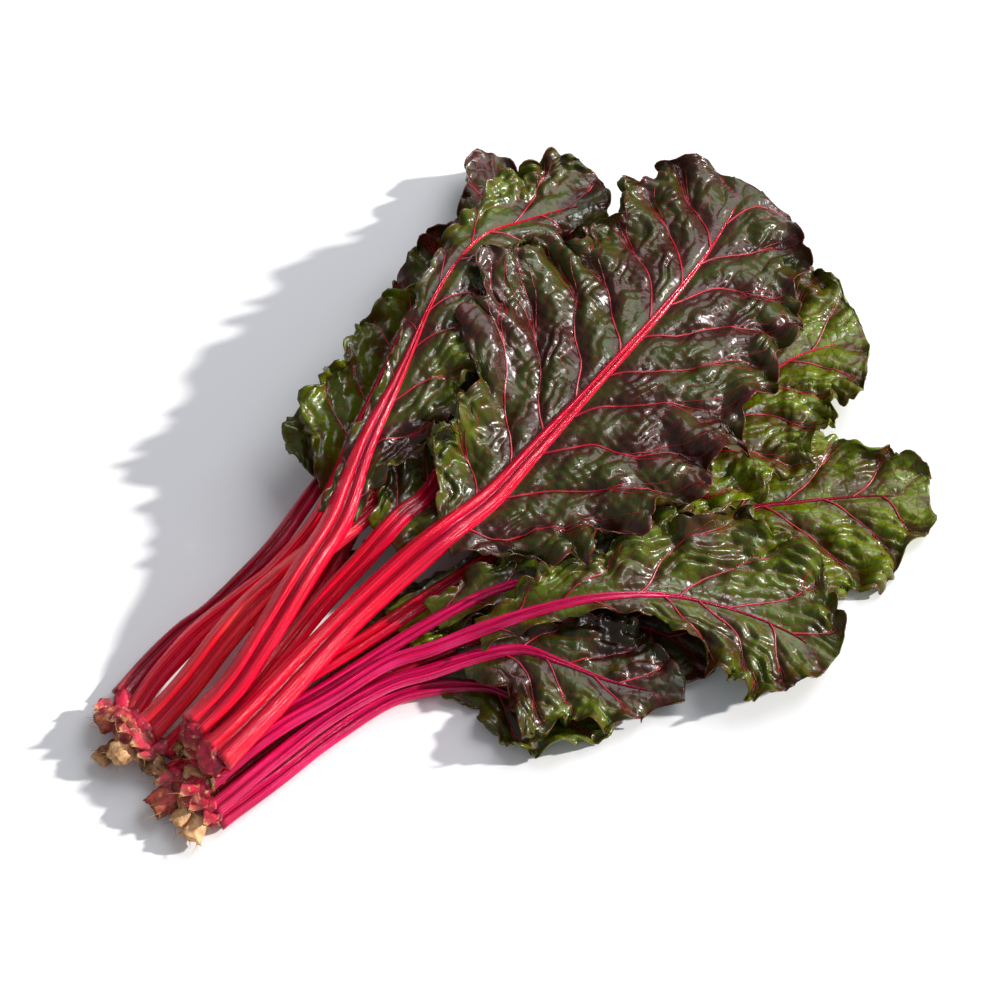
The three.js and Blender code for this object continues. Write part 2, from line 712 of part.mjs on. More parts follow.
function layLeaf(leaf, order) {
  leaf.phase = 1.7 * order;
  layStalk(leaf, heap);
  const stalk = stalkSolid(leaf, heap);
  const sheet = bladeSheet(leaf);
  layBlade(leaf, sheet, heap);
  const blade = thicken(sheet);
  heap.add(stalk);
  heap.add(blade);
  bunch.add(toMesh(stalk, `stalk_${leaf.name}`, COLOURS[leaf.stalk], 0.4));
  bunch.add(toMesh(blade, `blade_${leaf.name}`, COLOURS[leaf.blade], 0.35));
}

// A crown goes down just before the first of its own leaves.
LEAVES.forEach((leaf) => {
  leaf.path = new Route(leaf.route);
});
const laid = new Set();
LEAVES.forEach((leaf, order) => {
  if (!laid.has(leaf.crown)) {
    const crown = CROWNS.find(({ name }) => name === leaf.crown);
    const own = LEAVES.filter((other) => other.crown === crown.name);
    const solid = crownSolid(crown, own, heap);
    bunch.add(toMesh(solid, crown.name, COLOURS.tan, 0.9));
    laid.add(crown.name);
  }
  layLeaf(leaf, order);
});

export default bunch;
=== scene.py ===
# A loose bunch of red-stemmed Swiss chard lying on a pale table.
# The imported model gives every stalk, blade and crown its place and form; this script gives them
# their fine surface. Lengths are in millimetres until a piece is made, and then in metres.
import math

import bpy
import numpy as np
from mathutils import Matrix, Vector


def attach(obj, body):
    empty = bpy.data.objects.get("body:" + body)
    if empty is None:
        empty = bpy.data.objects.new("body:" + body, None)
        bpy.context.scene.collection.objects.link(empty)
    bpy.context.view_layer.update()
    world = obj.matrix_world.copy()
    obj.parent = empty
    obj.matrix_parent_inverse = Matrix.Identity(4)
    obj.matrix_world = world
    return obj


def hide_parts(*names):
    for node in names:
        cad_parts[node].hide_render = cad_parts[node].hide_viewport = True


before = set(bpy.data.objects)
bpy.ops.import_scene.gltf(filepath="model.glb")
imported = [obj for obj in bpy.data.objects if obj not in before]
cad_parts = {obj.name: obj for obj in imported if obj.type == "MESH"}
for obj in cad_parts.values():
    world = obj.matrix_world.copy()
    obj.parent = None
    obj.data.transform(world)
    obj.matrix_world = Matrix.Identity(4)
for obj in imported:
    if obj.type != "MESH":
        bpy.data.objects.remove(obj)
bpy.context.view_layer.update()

# ---------------------------------------------------------------- the lie of the leaves
# Fourteen leaves, listed from the lowest in the heap to the topmost. Each grew as one piece:
# a stalk that runs on as the midrib, with a blade on both sides. Route, widths and the place
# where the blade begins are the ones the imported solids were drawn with.

BUNCH_CENTRE = (-7.1, -4.5)

def new_leaf(name, stalk, blade, begins, width, left, right, route):
    """A leaf: its colours, where its blade begins, its widths at even steps, and its route in plan."""
    return {
        "name": name, "stalk": stalk, "blade": blade, "from": begins, "width": width,
        "left": left, "right": right, "route": route,
    }


LEAVES = [
    new_leaf(
        "low_front", "magenta", "green", 124, [8.5, 8.5, 8.5, 8, 5, 3],
        [5, 14, 22, 27, 29, 27, 23, 17, 10], [6, 8, 12, 22, 25, 25, 23, 19, 17],
        [(-202, -29), (-166, -31), (-136, -32), (-105, -36), (-85, -45), (-65, -62), (-57, -79),
         (-47, -94), (-32, -105)],
    ),
    new_leaf(
        "low_shaded", "wine", "purple", 138, [8.5, 8.5, 8.5, 8, 5, 3],
        [5, 14, 24, 30, 34, 34, 30, 25, 14], [6, 8, 11, 19, 25, 27, 28, 26, 18],
        [(-202, -18), (-167, -20), (-132, -24), (-97, -32), (-64, -43), (-36, -55), (-9, -67), (12, -90),
         (22, -119)],
    ),
    new_leaf(
        "far_purple", "crimson", "purple", 156, [8.5, 9, 9.5, 9, 6, 3],
        [8, 9, 10, 15, 22, 29, 16, 14, 14], [6, 14, 22, 28, 31, 31, 29, 24, 14],
        [(-199, 14), (-172, 17), (-140, 20), (-112, 24), (-80, 32), (-45, 48), (-9, 74), (27, 89),
         (62, 102), (90, 115), (111, 129), (124, 145)],
    ),
    new_leaf(
        "far_small", "wine", "green", 140, [8, 8.5, 8.5, 8, 6, 3],
        [13, 25, 25, 22, 18, 14, 11, 8, 6], [6, 12, 16, 20, 22, 22, 19, 15, 9],
        [(-197, 50), (-177, 53), (-155, 54), (-139, 52), (-115, 53), (-94, 55), (-65, 62), (-47, 67),
         (-27, 78), (-7, 88), (12, 97)],
    ),
    new_leaf(
        "left_green", "crimson", "green", 140, [9, 11, 11.5, 9.5, 6, 3],
        [7, 15, 30, 25, 22, 18, 14, 3, 3], [7, 15, 20, 24, 25, 23, 20, 15, 9],
        [(-199, 38), (-184, 42), (-168, 44), (-149, 45), (-122, 43), (-104, 42), (-77, 46), (-55, 54),
         (-30, 68), (-7, 80), (16, 92), (42, 104), (63, 110)],
    ),
    new_leaf(
        "under_middle", "salmon", "purpleGreen", 147, [14, 14, 13, 10.5, 6.5, 3],
        [5, 12, 20, 26, 29, 29, 26, 22, 15], [10, 16, 19, 20, 22, 23, 23, 22, 14],
        [(-199, 26), (-172, 28), (-146, 32), (-124, 34), (-101, 34), (-85, 34), (-59, 34), (-13, 37),
         (39, 43), (86, 51)],
    ),
    new_leaf(
        "right_tip", "wine", "brightGreen", 181, [8.5, 8.5, 8.5, 8, 5, 2.6],
        [6, 10, 16, 24, 30, 34, 36, 30, 20], [16, 18, 20, 23, 28, 40, 51, 49, 28],
        [(-203, -7), (-170, -9), (-135, -11), (-95, -16), (-50, -27), (-10, -42), (36, -61), (84, -76),
         (112, -93), (136, -110), (156, -127)],
    ),
    new_leaf(
        "right_green", "crimson", "brightGreen", 125, [8.5, 9, 9.5, 9, 5.5, 2.6],
        [-9, -6, 1, 21, 31, 37, 42, 46, 47], [22, 25, 27, 24, 30, 41, 48, 38, 29],
        [(-203, 4), (-170, 2), (-135, -2), (-95, -9), (-50, -15), (-10, -21), (33, -35), (89, -38),
         (152, -37), (175, -43), (188, -49)],
    ),
    new_leaf(
        "narrow_wing", "magenta", "green", 129, [7, 6.5, 6.5, 6, 5, 3],
        [7, 10, 13, 17, 19, 21, 22, 20, 15], [5, 5, 7, 8, 10, 11, 10, 9, 6],
        [(-193, -4), (-150, -10), (-121, -16), (-91, -21), (-68, -26), (-37, -35), (-16, -45), (18, -65),
         (50, -79)],
    ),
    new_leaf(
        "front_purple", "magenta", "purple", 136, [8.5, 7.5, 7.5, 7.5, 5, 2.6],
        [4, 4, 7, 14, 23, 29, 30, 26, 16], [7, 14, 27, 43, 38, 27, 21, 14, 6],
        [(-201, -25), (-161, -26), (-132, -28), (-102, -34), (-82, -43), (-61, -52), (-43, -63),
         (-33, -80), (-23, -99), (-12, -115), (-5, -123)],
    ),
    new_leaf(
        "lower_right", "magenta", "green", 146, [8.5, 7, 7, 7, 5.5, 2.6],
        [0, 10, 20, 23, 33, 39, 50, 38, 23], [8, 7, 6, 6, 10, 20, 35, 40, 27],
        [(-197, -14), (-157, -17), (-127, -23), (-97, -28), (-77, -37), (-52, -47), (-20, -63), (3, -77),
         (24, -93), (40, -111), (51, -127), (59, -144), (61, -156)],
    ),
    new_leaf(
        "middle", "crimson", "green", 128, [9, 10, 10.5, 9, 6, 3],
        [7, 29, 27, 22, 22, 24, 22, 18, 12], [11, 15, 18, 27, 31, 32, 31, 21, 9],
        [(-185, 5), (-150, 7), (-100, 16), (-68, 18), (-45, 20), (-24, 22), (18, 42), (55, 57), (91, 72),
         (121, 83), (145, 92)],
    ),
    new_leaf(
        "left_arched", "crimson", "purpleGreen", 118, [13, 14, 14, 11, 7, 2.6],
        [9, 7, 7, 8, 8, 10, 14, 29, 28], [3, 16, 30, 34, 32, 14, 15, 15, 5],
        [(-184, 8), (-158, 10), (-134, 16), (-94, 28), (-70, 36), (-39, 53), (-1, 70), (33, 86), (57, 95),
         (80, 100), (100, 96), (121, 90), (136, 83)],
    ),
    new_leaf(
        "top_broad", "crimson", "purple", 146, [17, 15.5, 14.5, 12, 7.5, 2.6],
        [4, 35, 37, 65, 80, 67, 51, 50, 45], [8, 45, 61, 68, 71, 66, 59, 49, 37],
        [(-186, -11), (-160, -9), (-105, -2), (-63, -1), (-15, -3), (20, 1), (63, 6), (110, 13),
         (153, 23), (182, 33), (196, 38)],
    ),
]
TIP_REACH = 9
RIB_END = 0.93
RIB_REACH = 0.985
ROUTE_STEPS = 24
LEAF_PHASE = 1.7
FIRST_SEED = 100
DIRECTION_SPAN = 16
RIB_DEPTH_TO_WIDTH = 0.54
RIB_LEAST_DEPTH = 1.6


def evenly(values, t):
    """A smooth value at t, from 0 to 1, through evenly spaced ones."""
    values = np.asarray(values, float)
    last = len(values) - 1
    place = np.clip(t, 0, 1) * last
    i = np.minimum(np.floor(place).astype(int), last - 1)
    f = place - i
    before, after = values[np.maximum(i - 1, 0)], values[np.minimum(i + 2, last)]
    a, b = values[i], values[i + 1]
    bend = (2 * before - 5 * a + 4 * b - after) * f**2 + (3 * a - before - 3 * b + after) * f**3
    return a + 0.5 * ((b - before) * f + bend)


class Route:
    """A line in plan through a few points, measured along its length, straight past its ends."""

    def __init__(self, points):
        p = np.array(points, float) - BUNCH_CENTRE
        p = np.vstack([2 * p[0] - p[1], p, 2 * p[-1] - p[-2]])
        t = np.arange(0, 1, 1 / ROUTE_STEPS)[:, None]
        spans = []
        for a, b, c, d in zip(p, p[1:], p[2:], p[3:]):
            bend = (2 * a - 5 * b + 4 * c - d) * t**2 + (3 * b - a - 3 * c + d) * t**3
            spans.append(b + 0.5 * ((c - a) * t + bend))
        self.points = np.vstack(spans + [p[-2:-1]])
        steps = np.linalg.norm(np.diff(self.points, axis=0), axis=1)
        self.lengths = np.concatenate([[0], np.cumsum(steps)])
        self.length = self.lengths[-1]

    def at(self, s):
        s = np.asarray(s, float)
        inside = np.clip(s, 0, self.length)
        place = np.stack([np.interp(inside, self.lengths, self.points[:, k]) for k in (0, 1)], -1)
        first = (self.points[1] - self.points[0]) / self.lengths[1]
        final = (self.points[-1] - self.points[-2]) / (self.length - self.lengths[-2])
        past_first = np.minimum(s, 0)[..., None] * first
        return place + past_first + np.maximum(s - self.length, 0)[..., None] * final

    def along(self, s):
        step = self.at(np.asarray(s) + DIRECTION_SPAN) - self.at(np.asarray(s) - DIRECTION_SPAN)
        return step / np.linalg.norm(step, axis=-1, keepdims=True)

    def across(self, s):
        forward = self.along(s)
        return np.stack([-forward[..., 1], forward[..., 0]], -1)


for order, leaf in enumerate(LEAVES):
    leaf["path"] = Route(leaf["route"])
    leaf["phase"] = LEAF_PHASE * order
    leaf["seed"] = FIRST_SEED + order


# ---------------------------------------------------------------- stalks
# The leaf stalks: watery, stringy stems with lengthwise ridges and a shallow groove on top,
# wet-looking and red from pigment in the skin. Each runs on into the blade as its midrib.

STALK_STEP = 3.2
STALK_TOP_SIDES = 48
STALK_UNDER_SIDES = 14
RIB_TAPER = 0.5
RIB_TAPERS = {"left_arched": 0.8, "lower_right": 0.7, "front_purple": 0.68, "narrow_wing": 0.6}
RIB_TAPER_LENGTH = 110
RIB_LEAST_WIDTH = 1.4
RIB_RUN_OUT = 75
RIB_FINEST = 0.25
RIDGE_SPACING = 1.7
SHOULDER_AT = 0.2
RIDGE_HEIGHT = 0.3
SHOULDER_RISE = 0.46
GROOVE_HALF_WIDTH = 0.11
GROOVE_DEPTH = 0.34
END_FLARE = 0.12
FLARE_LENGTH = 7
WIDTH_WOBBLE = 0.03
WOBBLE_LENGTH = 45
# Each: the skin; a deeper red for dark strands, also used as painted shading in the furrows and the groove;
# a paler red for flecks and fibres, also used as painted highlight on the rib crests.
STALK_COLOURS = {
    "crimson": ("#f8002e", "#9c001c", "#ff2850"),
    "magenta": ("#e80058", "#94003a", "#fc3c88"),
    "salmon": ("#f81028", "#a80420", "#ff5c54"),
    "wine": ("#a80026", "#580012", "#cc2440"),
}

WANDER_WAVES = 7
WANDER_SIZES = (0.7, 1.4)
WANDER_SCALE = 3.2


def wander(u, v, length, seed):
    """A smooth random swell between about -1 and 1 with waves of about this length."""
    draw = np.random.default_rng(seed)
    total = 0
    for _ in range(WANDER_WAVES):
        turn, start = draw.uniform(0, 2 * np.pi, 2)
        size = length * draw.uniform(*WANDER_SIZES)
        total = total + np.sin(2 * np.pi * (u * np.cos(turn) + v * np.sin(turn)) / size + start)
    return total / WANDER_SCALE


GRID_STEP = 1.5
GRID_REACH = (250.0, 190.0)
EDGE_SPREAD = 8
SOFTEN_REACH = 4
SOFTEN_WIDTH = 1.6
SOFTEN = np.exp(-np.arange(-SOFTEN_REACH, SOFTEN_REACH + 1) ** 2 / (2 * SOFTEN_WIDTH**2))


def between_cells(grid, u, v):
    """A grid's value between its cells, at this many rows and columns from its corner."""
    i, j = u.astype(int), v.astype(int)
    f, g = u - i, v - j
    if grid.ndim > 2:
        f, g = f[:, None], g[:, None]
    near = grid[i, j] * (1 - g) + grid[i, j + 1] * g
    far = grid[i + 1, j] * (1 - g) + grid[i + 1, j + 1] * g
    return near * (1 - f) + far * f


class Relief:
    """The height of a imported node's upper side, on a square grid in plan."""

    def __init__(self, node):
        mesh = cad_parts[node].data
        mesh.calc_loop_triangles()
        places = np.empty(len(mesh.vertices) * 3)
        mesh.vertices.foreach_get("co", places)
        picks = np.empty(len(mesh.loop_triangles) * 3, int)
        mesh.loop_triangles.foreach_get("vertices", picks)
        corners = 1000 * places.reshape(-1, 3)[picks.reshape(-1, 3)]
        size = [int(2 * reach / GRID_STEP) + 1 for reach in GRID_REACH]
        self.height = np.full(size, -np.inf)
        edges = corners[:, 1:] - corners[:, :1]
        lean = np.cross(edges[:, 0], edges[:, 1])
        for triangle, upward in zip(corners, lean[:, 2]):
            if upward > 1e-6:
                self.cover(triangle, upward)
        self.spread(EDGE_SPREAD)
        self.soften()

    def cover(self, triangle, doubled_area):
        plan = (triangle[:, :2] + GRID_REACH) / GRID_STEP
        low = np.floor(plan.min(0)).astype(int)
        high = np.ceil(plan.max(0)).astype(int) + 1
        i, j = np.mgrid[low[0]:high[0], low[1]:high[1]]
        area = doubled_area / GRID_STEP**2
        weights = []
        for k in range(3):
            p, q = plan[(k + 1) % 3], plan[(k + 2) % 3]
            weights.append(((q[0] - p[0]) * (j - p[1]) - (q[1] - p[1]) * (i - p[0])) / area)
        inside = np.min(weights, 0) > -1e-6
        z = sum(w * corner[2] for w, corner in zip(weights, triangle))
        patch = self.height[low[0]:high[0], low[1]:high[1]]
        patch[inside] = np.maximum(patch[inside], z[inside])

    def spread(self, rounds):
        """Carries the heights on past the edges, and over the slit along the midrib."""
        for _ in range(rounds):
            known = np.isfinite(self.height)
            value = np.where(known, self.height, 0)
            total, count = np.zeros_like(value), np.zeros_like(value)
            for axis in (0, 1):
                for shift in (1, -1):
                    total += np.roll(value, shift, axis)
                    count += np.roll(known, shift, axis)
            new = ~known & (count > 0)
            self.height[new] = total[new] / count[new]

    def soften(self):
        """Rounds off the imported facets, counting only the cells that are known."""
        known = np.isfinite(self.height).astype(float)
        value = np.where(known > 0, self.height, 0)
        for axis in (0, 1):
            value, known = (
                sum(w * np.roll(field, k - SOFTEN_REACH, axis) for k, w in enumerate(SOFTEN))
                for field in (value, known)
            )
        self.height = value / np.maximum(known, 1e-9)

    def at(self, x, y):
        u = np.clip((x + GRID_REACH[0]) / GRID_STEP, 0, self.height.shape[0] - 1.01)
        v = np.clip((y + GRID_REACH[1]) / GRID_STEP, 0, self.height.shape[1] - 1.01)
        return between_cells(self.height, u, v)


def keep_piece(name, mesh, node=None):
    """Puts a finished mesh in the scene, riding on the one body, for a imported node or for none."""
    mesh.shade_smooth()
    piece = bpy.data.objects.new(name, mesh)
    bpy.context.scene.collection.objects.link(piece)
    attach(piece, "root")
    if node:
        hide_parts(node)


def make_piece(name, places, faces, facts, material, node):
    """One closed mesh in metres, with its facts kept per point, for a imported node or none."""
    mesh = bpy.data.meshes.new(name)
    mesh.from_pydata((0.001 * places).tolist(), [], faces)
    mesh.update()
    for title, values in facts.items():
        attribute = mesh.attributes.new(title, "FLOAT", "POINT")
        attribute.data.foreach_set("value", np.asarray(values, np.float32))
    mesh.materials.append(material)
    keep_piece(name, mesh, node)


def srgb(code):
    """A colour written as sRGB hex, in the linear numbers that the shaders take."""
    parts = [int(code[k:k + 2], 16) / 255 for k in (1, 3, 5)]
    return [c / 12.92 if c <= 0.04045 else ((c + 0.055) / 1.055) ** 2.4 for c in parts] + [1.0]


def add_node(tree, kind, settings=None, **links):
    """Adds one node to a material or a geometry tree. A link is a socket, or a plain value."""
    node = tree.nodes.new(tree.bl_idname.replace("Tree", "") + kind)
    for key, value in (settings or {}).items():
        setattr(node, key, value)
    for title, source in links.items():
        key = title.replace("_", " ")
        socket = node.inputs[int(key[1:])] if key[0] == "i" and key[1:].isdigit() else node.inputs[key]
        if isinstance(source, bpy.types.NodeSocket):
            tree.links.new(source, socket)
        else:
            socket.default_value = source
    return node


def new_material(name, **surface):
    material = bpy.data.materials.new(name)
    material.use_nodes = True
    shader = material.node_tree.nodes["Principled BSDF"]
    for key, value in surface.items():
        shader.inputs[key.replace("_", " ")].default_value = value
    return material, material.node_tree, shader


def stalk_skin(name, skin, dark_tone_and_shade, pale_tone_and_highlight):
    """Fresh stalk skin: a smooth wet cuticle over red tissue, so it shines along every rib; its colour also
    has painted highlights on the rib crests and painted shading in the furrows and the groove.
    """
    material, tree, shader = new_material(name, Roughness=0.19, Specular_IOR_Level=0.48)
    along, around, rib, groove, cut = (
        add_node(tree, "Attribute", {"attribute_name": title}).outputs["Fac"]
        for title in ("along", "around", "rib", "groove", "cut")
    )
    place = add_node(tree, "CombineXYZ", X=along, Y=around).outputs[0]

    def streaks(length, width):
        """A random pattern of streaks this long and wide, in millimetres."""
        scaled = add_node(tree, "Mapping", Vector=place, Scale=(1 / length, 1 / width, 1.0)).outputs[0]
        return add_node(tree, "TexNoise", Vector=scaled, Scale=1.0, Detail=3.0).outputs[0]

    # What each layer follows, where it starts and is full, its share when full, and its colour.
    layers = (
        (streaks(60, 1.1), 0.44, 0.62, 0.8, dark_tone_and_shade),      # darker strands along it
        (rib, 0.62, 1.0, 0.35, pale_tone_and_highlight),                   # painted highlight: the crest of each rib made paler
        (rib, 0.35, 0.0, 0.38, dark_tone_and_shade),                   # painted shading: the furrow beside each rib made darker
        (streaks(25, 2.5), 0.56, 0.72, 0.35, pale_tone_and_highlight),     # pale flecks
        (streaks(40, 0.35), 0.6, 0.68, 0.4, pale_tone_and_highlight),      # single pale fibres
        (groove, 0.3, 1.0, 0.65, dark_tone_and_shade),                 # painted shading: the groove along the top made darker
        (streaks(110, 5.0), 0.5, 0.68, 0.4, "#a00044"),  # long purplish drifts
        (along, 30.0, 2.0, 0.25, "#b44044"),             # duller towards the cut end
        (along, 110.0, 240.0, 0.4, "#94002a"),           # deeper where it is the midrib
    )
    colour = srgb(skin)
    for field, start, full, most, tint in layers:
        share = add_node(tree, "MapRange", Value=field, i1=start, i2=full, i4=most).outputs[0]
        colour = add_node(tree, "Mix", {"data_type": "RGBA"}, i0=share, i6=colour, i7=srgb(tint)).outputs[2]
    tan = srgb("#b98a5a")
    colour = add_node(tree, "Mix", {"data_type": "RGBA"}, i0=cut, i6=colour, i7=tan).outputs[2]
    tree.links.new(colour, shader.inputs["Base Color"])
    coarse, fine = (
        add_node(tree, "MapRange", Value=streaks(length, width), i1=0.3, i2=0.7, i4=most).outputs[0]
        for length, width, most in ((60, 0.6, 0.45), (8, 1.1, 0.55))
    )
    strands = add_node(tree, "Math", {"operation": "ADD"}, i0=coarse, i1=fine).outputs[0]
    relief = add_node(tree, "Bump", Height=strands, Strength=0.6, Distance=0.0005).outputs[0]
    tree.links.new(relief, shader.inputs["Normal"])
    return material


stalk_materials = {
    name: stalk_skin("chard_stalk_" + name, *colours) for name, colours in STALK_COLOURS.items()
}


def stalk_width(leaf, s):
    """The stalk narrows quickly once it gives off side veins."""
    taper = RIB_TAPERS.get(leaf["name"], RIB_TAPER)
    given_off = taper * np.clip((s - leaf["from"]) / RIB_TAPER_LENGTH, 0, 1)
    width = evenly(leaf["width"], s / leaf["path"].length) * (1 - given_off)
    return np.maximum(width, RIB_LEAST_WIDTH) * rib_left(leaf, s)


def rib_left(leaf, s):
    """How much of the midrib is left towards the tip, where it runs out in a fine end."""
    left = np.clip((RIB_REACH * leaf["path"].length - s) / RIB_RUN_OUT, 0, 1)
    return RIB_FINEST + (1 - RIB_FINEST) * left**0.7


def stalk_depth(leaf, s):
    least = RIB_LEAST_DEPTH * rib_left(leaf, s)
    return np.maximum(least, RIB_DEPTH_TO_WIDTH * stalk_width(leaf, s))


def smooth_along(values, reach):
    weights = np.exp(-np.arange(-3 * reach, 3 * reach + 1) ** 2 / (2 * reach**2))
    padded = np.pad(values, 3 * reach, mode="edge")
    return np.convolve(padded, weights / weights.sum(), mode="valid")


def rib_line(leaf):
    """Rows along a stalk and the height of its edges there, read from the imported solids."""
    s = np.arange(0, leaf["path"].length * RIB_REACH, STALK_STEP)
    x, y = leaf["path"].at(s).T
    own = leaf["stalk_relief"].at(x, y) - 0.02 * stalk_depth(leaf, s)
    sheet = leaf["blade_relief"].at(x, y) - 0.7
    end = leaf["path"].length * (RIB_END - 0.03)
    return s, smooth_along(np.where(s < end, own, sheet), 3)


def build_stalk(leaf):
    """A stalk and midrib: rings across its route, ribbed and grooved on top and round below."""
    s, edge = rib_line(leaf)
    over = 0.5 + 0.5 * (np.arange(STALK_TOP_SIDES) + 0.5) / STALK_TOP_SIDES
    t = np.concatenate([0.5 * np.arange(STALK_UNDER_SIDES) / STALK_UNDER_SIDES, over])
    turn = 2 * np.pi * t
    under = t < 0.5
    width, depth = stalk_width(leaf, s), stalk_depth(leaf, s)
    side = np.where(under, 0.5 * np.cos(turn), 2 * (t - 0.75))
    across_top = side * width[:, None]
    count = np.maximum(2.5, width / RIDGE_SPACING)[:, None]
    drift = 0.35 * wander(s, 0 * s, 70, leaf["seed"])[:, None]
    uneven = 0.22 * np.sin(5.3 * side + leaf["phase"])
    phase = 2 * np.pi * (count * (side + 0.5 + uneven) + drift)
    rib = 0.5 + 0.5 * np.cos(phase)
    centre = -0.06 * np.sin(leaf["phase"])
    away = np.abs(side - centre)
    groove = np.exp(-((away / GROOVE_HALF_WIDTH) ** 2)) * ~under
    flank = np.clip((away - SHOULDER_AT) / (0.5 - SHOULDER_AT - centre * np.sign(side - centre)), 0, 1)
    shoulder = np.cos(0.5 * np.pi * flank)
    rim = np.sqrt(np.clip(1 - (2 * side) ** 2, 0, 1))
    strength = RIDGE_HEIGHT * np.clip(width / 11, 0.12, 1.2)[:, None]
    swell = strength * (rib**1.4 - 0.45) * (0.7 + 0.3 * np.sin(7 * side + 2 * leaf["phase"]))
    over_top = SHOULDER_RISE * shoulder - GROOVE_DEPTH * groove
    up = np.where(under, -np.abs(np.sin(turn)) ** 0.8, over_top)
    out = np.where(under, 0.25, np.clip(rim * 1.6, 0, 1))
    flare = (1 + END_FLARE * np.exp(-s / FLARE_LENGTH))[:, None]
    wobble = (1 + WIDTH_WOBBLE * wander(s, 0 * s, WOBBLE_LENGTH, leaf["seed"] + 50))[:, None]
    middle, across = leaf["path"].at(s), leaf["path"].across(s)
    rows, n = len(s), len(t)
    places = np.empty((rows, n, 3))
    places[..., :2] = middle[:, None, :] + across[:, None, :] * (across_top * flare * wobble)[..., None]
    places[..., 2] = edge[:, None] + up * depth[:, None] * flare + swell * out
    places[..., 2] = np.maximum(places[..., 2], 0.02)
    leaf["stalk_places"] = places
    leaf["rib_rows"], leaf["rib_edge"] = s, edge
    grid = np.arange(rows * n).reshape(rows, n)
    after = np.roll(grid, -1, axis=1)
    faces = np.stack([grid[:-1], grid[1:], after[1:], after[:-1]], -1).reshape(-1, 4).tolist()
    first, last = rows * n, rows * n + 1
    faces += [(first, a, b) for a, b in zip(grid[0], after[0])]
    faces += [(last, b, a) for a, b in zip(grid[-1], after[-1])]
    ends = np.array([places[0].mean(0), places[-1].mean(0)])
    ends[0, :2] += 1.2 * leaf["path"].along(0.0)
    points = np.vstack([places.reshape(-1, 3), ends])
    whole = lambda field: np.concatenate([np.broadcast_to(field, (rows, n)).ravel(), [0, 0]])
    facts = {
        "along": np.concatenate([np.repeat(s, n), [0, s[-1]]]),
        "around": whole(across_top),
        "rib": whole(np.where(under, 0.5, rib)),
        "groove": whole(groove[None, :]),
        "cut": np.concatenate([np.zeros(rows * n), [1, 0]]),
    }
    name = "stalk_" + leaf["name"]
    make_piece(name + "_fine", points, faces, facts, stalk_materials[leaf["stalk"]], name)


for leaf in LEAVES:
    leaf["stalk_relief"] = Relief("stalk_" + leaf["name"])
    leaf["blade_relief"] = Relief("blade_" + leaf["name"])
    build_stalk(leaf)


# ---------------------------------------------------------------- blades
# The leaf blades: half a millimetre thick, puckered between the veins, and longer at the margin
# than at the midrib, so that the margin stands in ruffles and rolls over. They are laid one on
# another, from the lowest to the topmost, and each is pushed up by what it lies on.

BLADE_THICKNESS = 0.55
FINE_STEP = 1.0
COARSE_STEP = 1.5
COARSE_LEAVES = ("low_front", "low_shaded", "far_small", "left_green", "under_middle", "far_purple")
LOBE_DEPTH = 0.07
LOBE_LENGTH = 31
TOOTH_LENGTH = 8
TOOTH_DEPTH = 2.2
TIP_ROUND = 13
VEIN_SPACING = 27
VEIN_LEAN = 0.72
VEIN_BEND = 0.0022
VEIN_START = 9
RUNG_SPACING = 7.6
STRIP_HEIGHT = 2.6
RUNG_HEIGHT = 2.4
BLISTER_HEIGHT = 0.3
FRESH_BLISTERS = 2.2
LUMP_HEIGHT = 0.9
SWELL_MEAN = 1.6
GREEN_CRUMPLE = 0.6
RUFFLE_HEIGHT = 4.4
RUFFLE_LENGTH = 23
FRILL_HEIGHT = 2.0
FRILL_LENGTH = 10.5
RUFFLE_SWAY = 1.2
RUFFLE_SLIDE = 2.2
FRILL_SLIDE = 0.8
ROOT_LENGTH = 4
LAYING_ROUNDS = 3
LIFT_SPREAD = 12
PRESS_SPREAD = 6
CLEARANCE = 0.35
CREST_FROM = 57
CREST_SPAN = 11
BLADE_SLOTS = {
    "purple": "blade_purple",
    "purpleGreen": "blade_purple_green",
    "green": "blade_green",
    "brightGreen": "blade_bright_green",
}
BLADE_COLOURS = {
    "purple": ("#31180b", "#313a08", "#6c0c18", "#3e4e1c", 0.475, 0.28),
    "purpleGreen": ("#2e1609", "#354208", "#6c0c18", "#3e4e1c", 0.455, 0.34),
    "green": ("#342a03", "#465602", "#5c0a16", "#5a6c20", 0.465, 0.55),
    "brightGreen": ("#3e3a01", "#5c6e00", "#5c0a10", "#7a9030", 0.46, 0.6),
}
# Where a margin rolls over: side, middle and half-width along the leaf, turn in radians, breadth.
ROLLS = {
    "top_broad": [
        (1, 182, 34, 2.5, 20), (1, 262, 26, 1.7, 14), (1, 352, 30, 2.3, 15),
        (-1, 205, 22, 0.8, 12), (-1, 300, 25, 0.5, 10), (-1, 372, 22, 1.1, 12),
    ],
    "left_arched": [
        (1, 200, 40, 1.2, 9), (-1, 190, 30, 1.4, 12), (1, 330, 25, 1.5, 12), (-1, 300, 25, 1.6, 10),
    ],
    "lower_right": [(1, 190, 30, 1.6, 12), (1, 265, 25, 1.3, 10), (-1, 285, 22, 1.2, 10)],
    "middle": [(1, 165, 28, 1.7, 12), (1, 225, 22, 1.2, 10)],
    "right_tip": [(1, 300, 22, 2.0, 14), (-1, 330, 25, 1.0, 12), (1, 370, 16, 1.6, 10)],
    "right_green": [(1, 345, 30, 1.5, 14), (-1, 360, 28, 1.5, 14), (1, 300, 20, 1.0, 12)],
    "front_purple": [(1, 190, 22, 1.5, 10), (-1, 185, 20, 1.6, 12)],
    "far_purple": [(1, 300, 26, 1.4, 12), (1, 345, 18, 1.8, 10)],
    "left_green": [(1, 195, 24, 1.6, 11)],
    "narrow_wing": [(1, 180, 26, 1.4, 9), (-1, 200, 20, 1.2, 7)],
    "low_front": [(-1, 170, 18, 1.2, 9)],
}
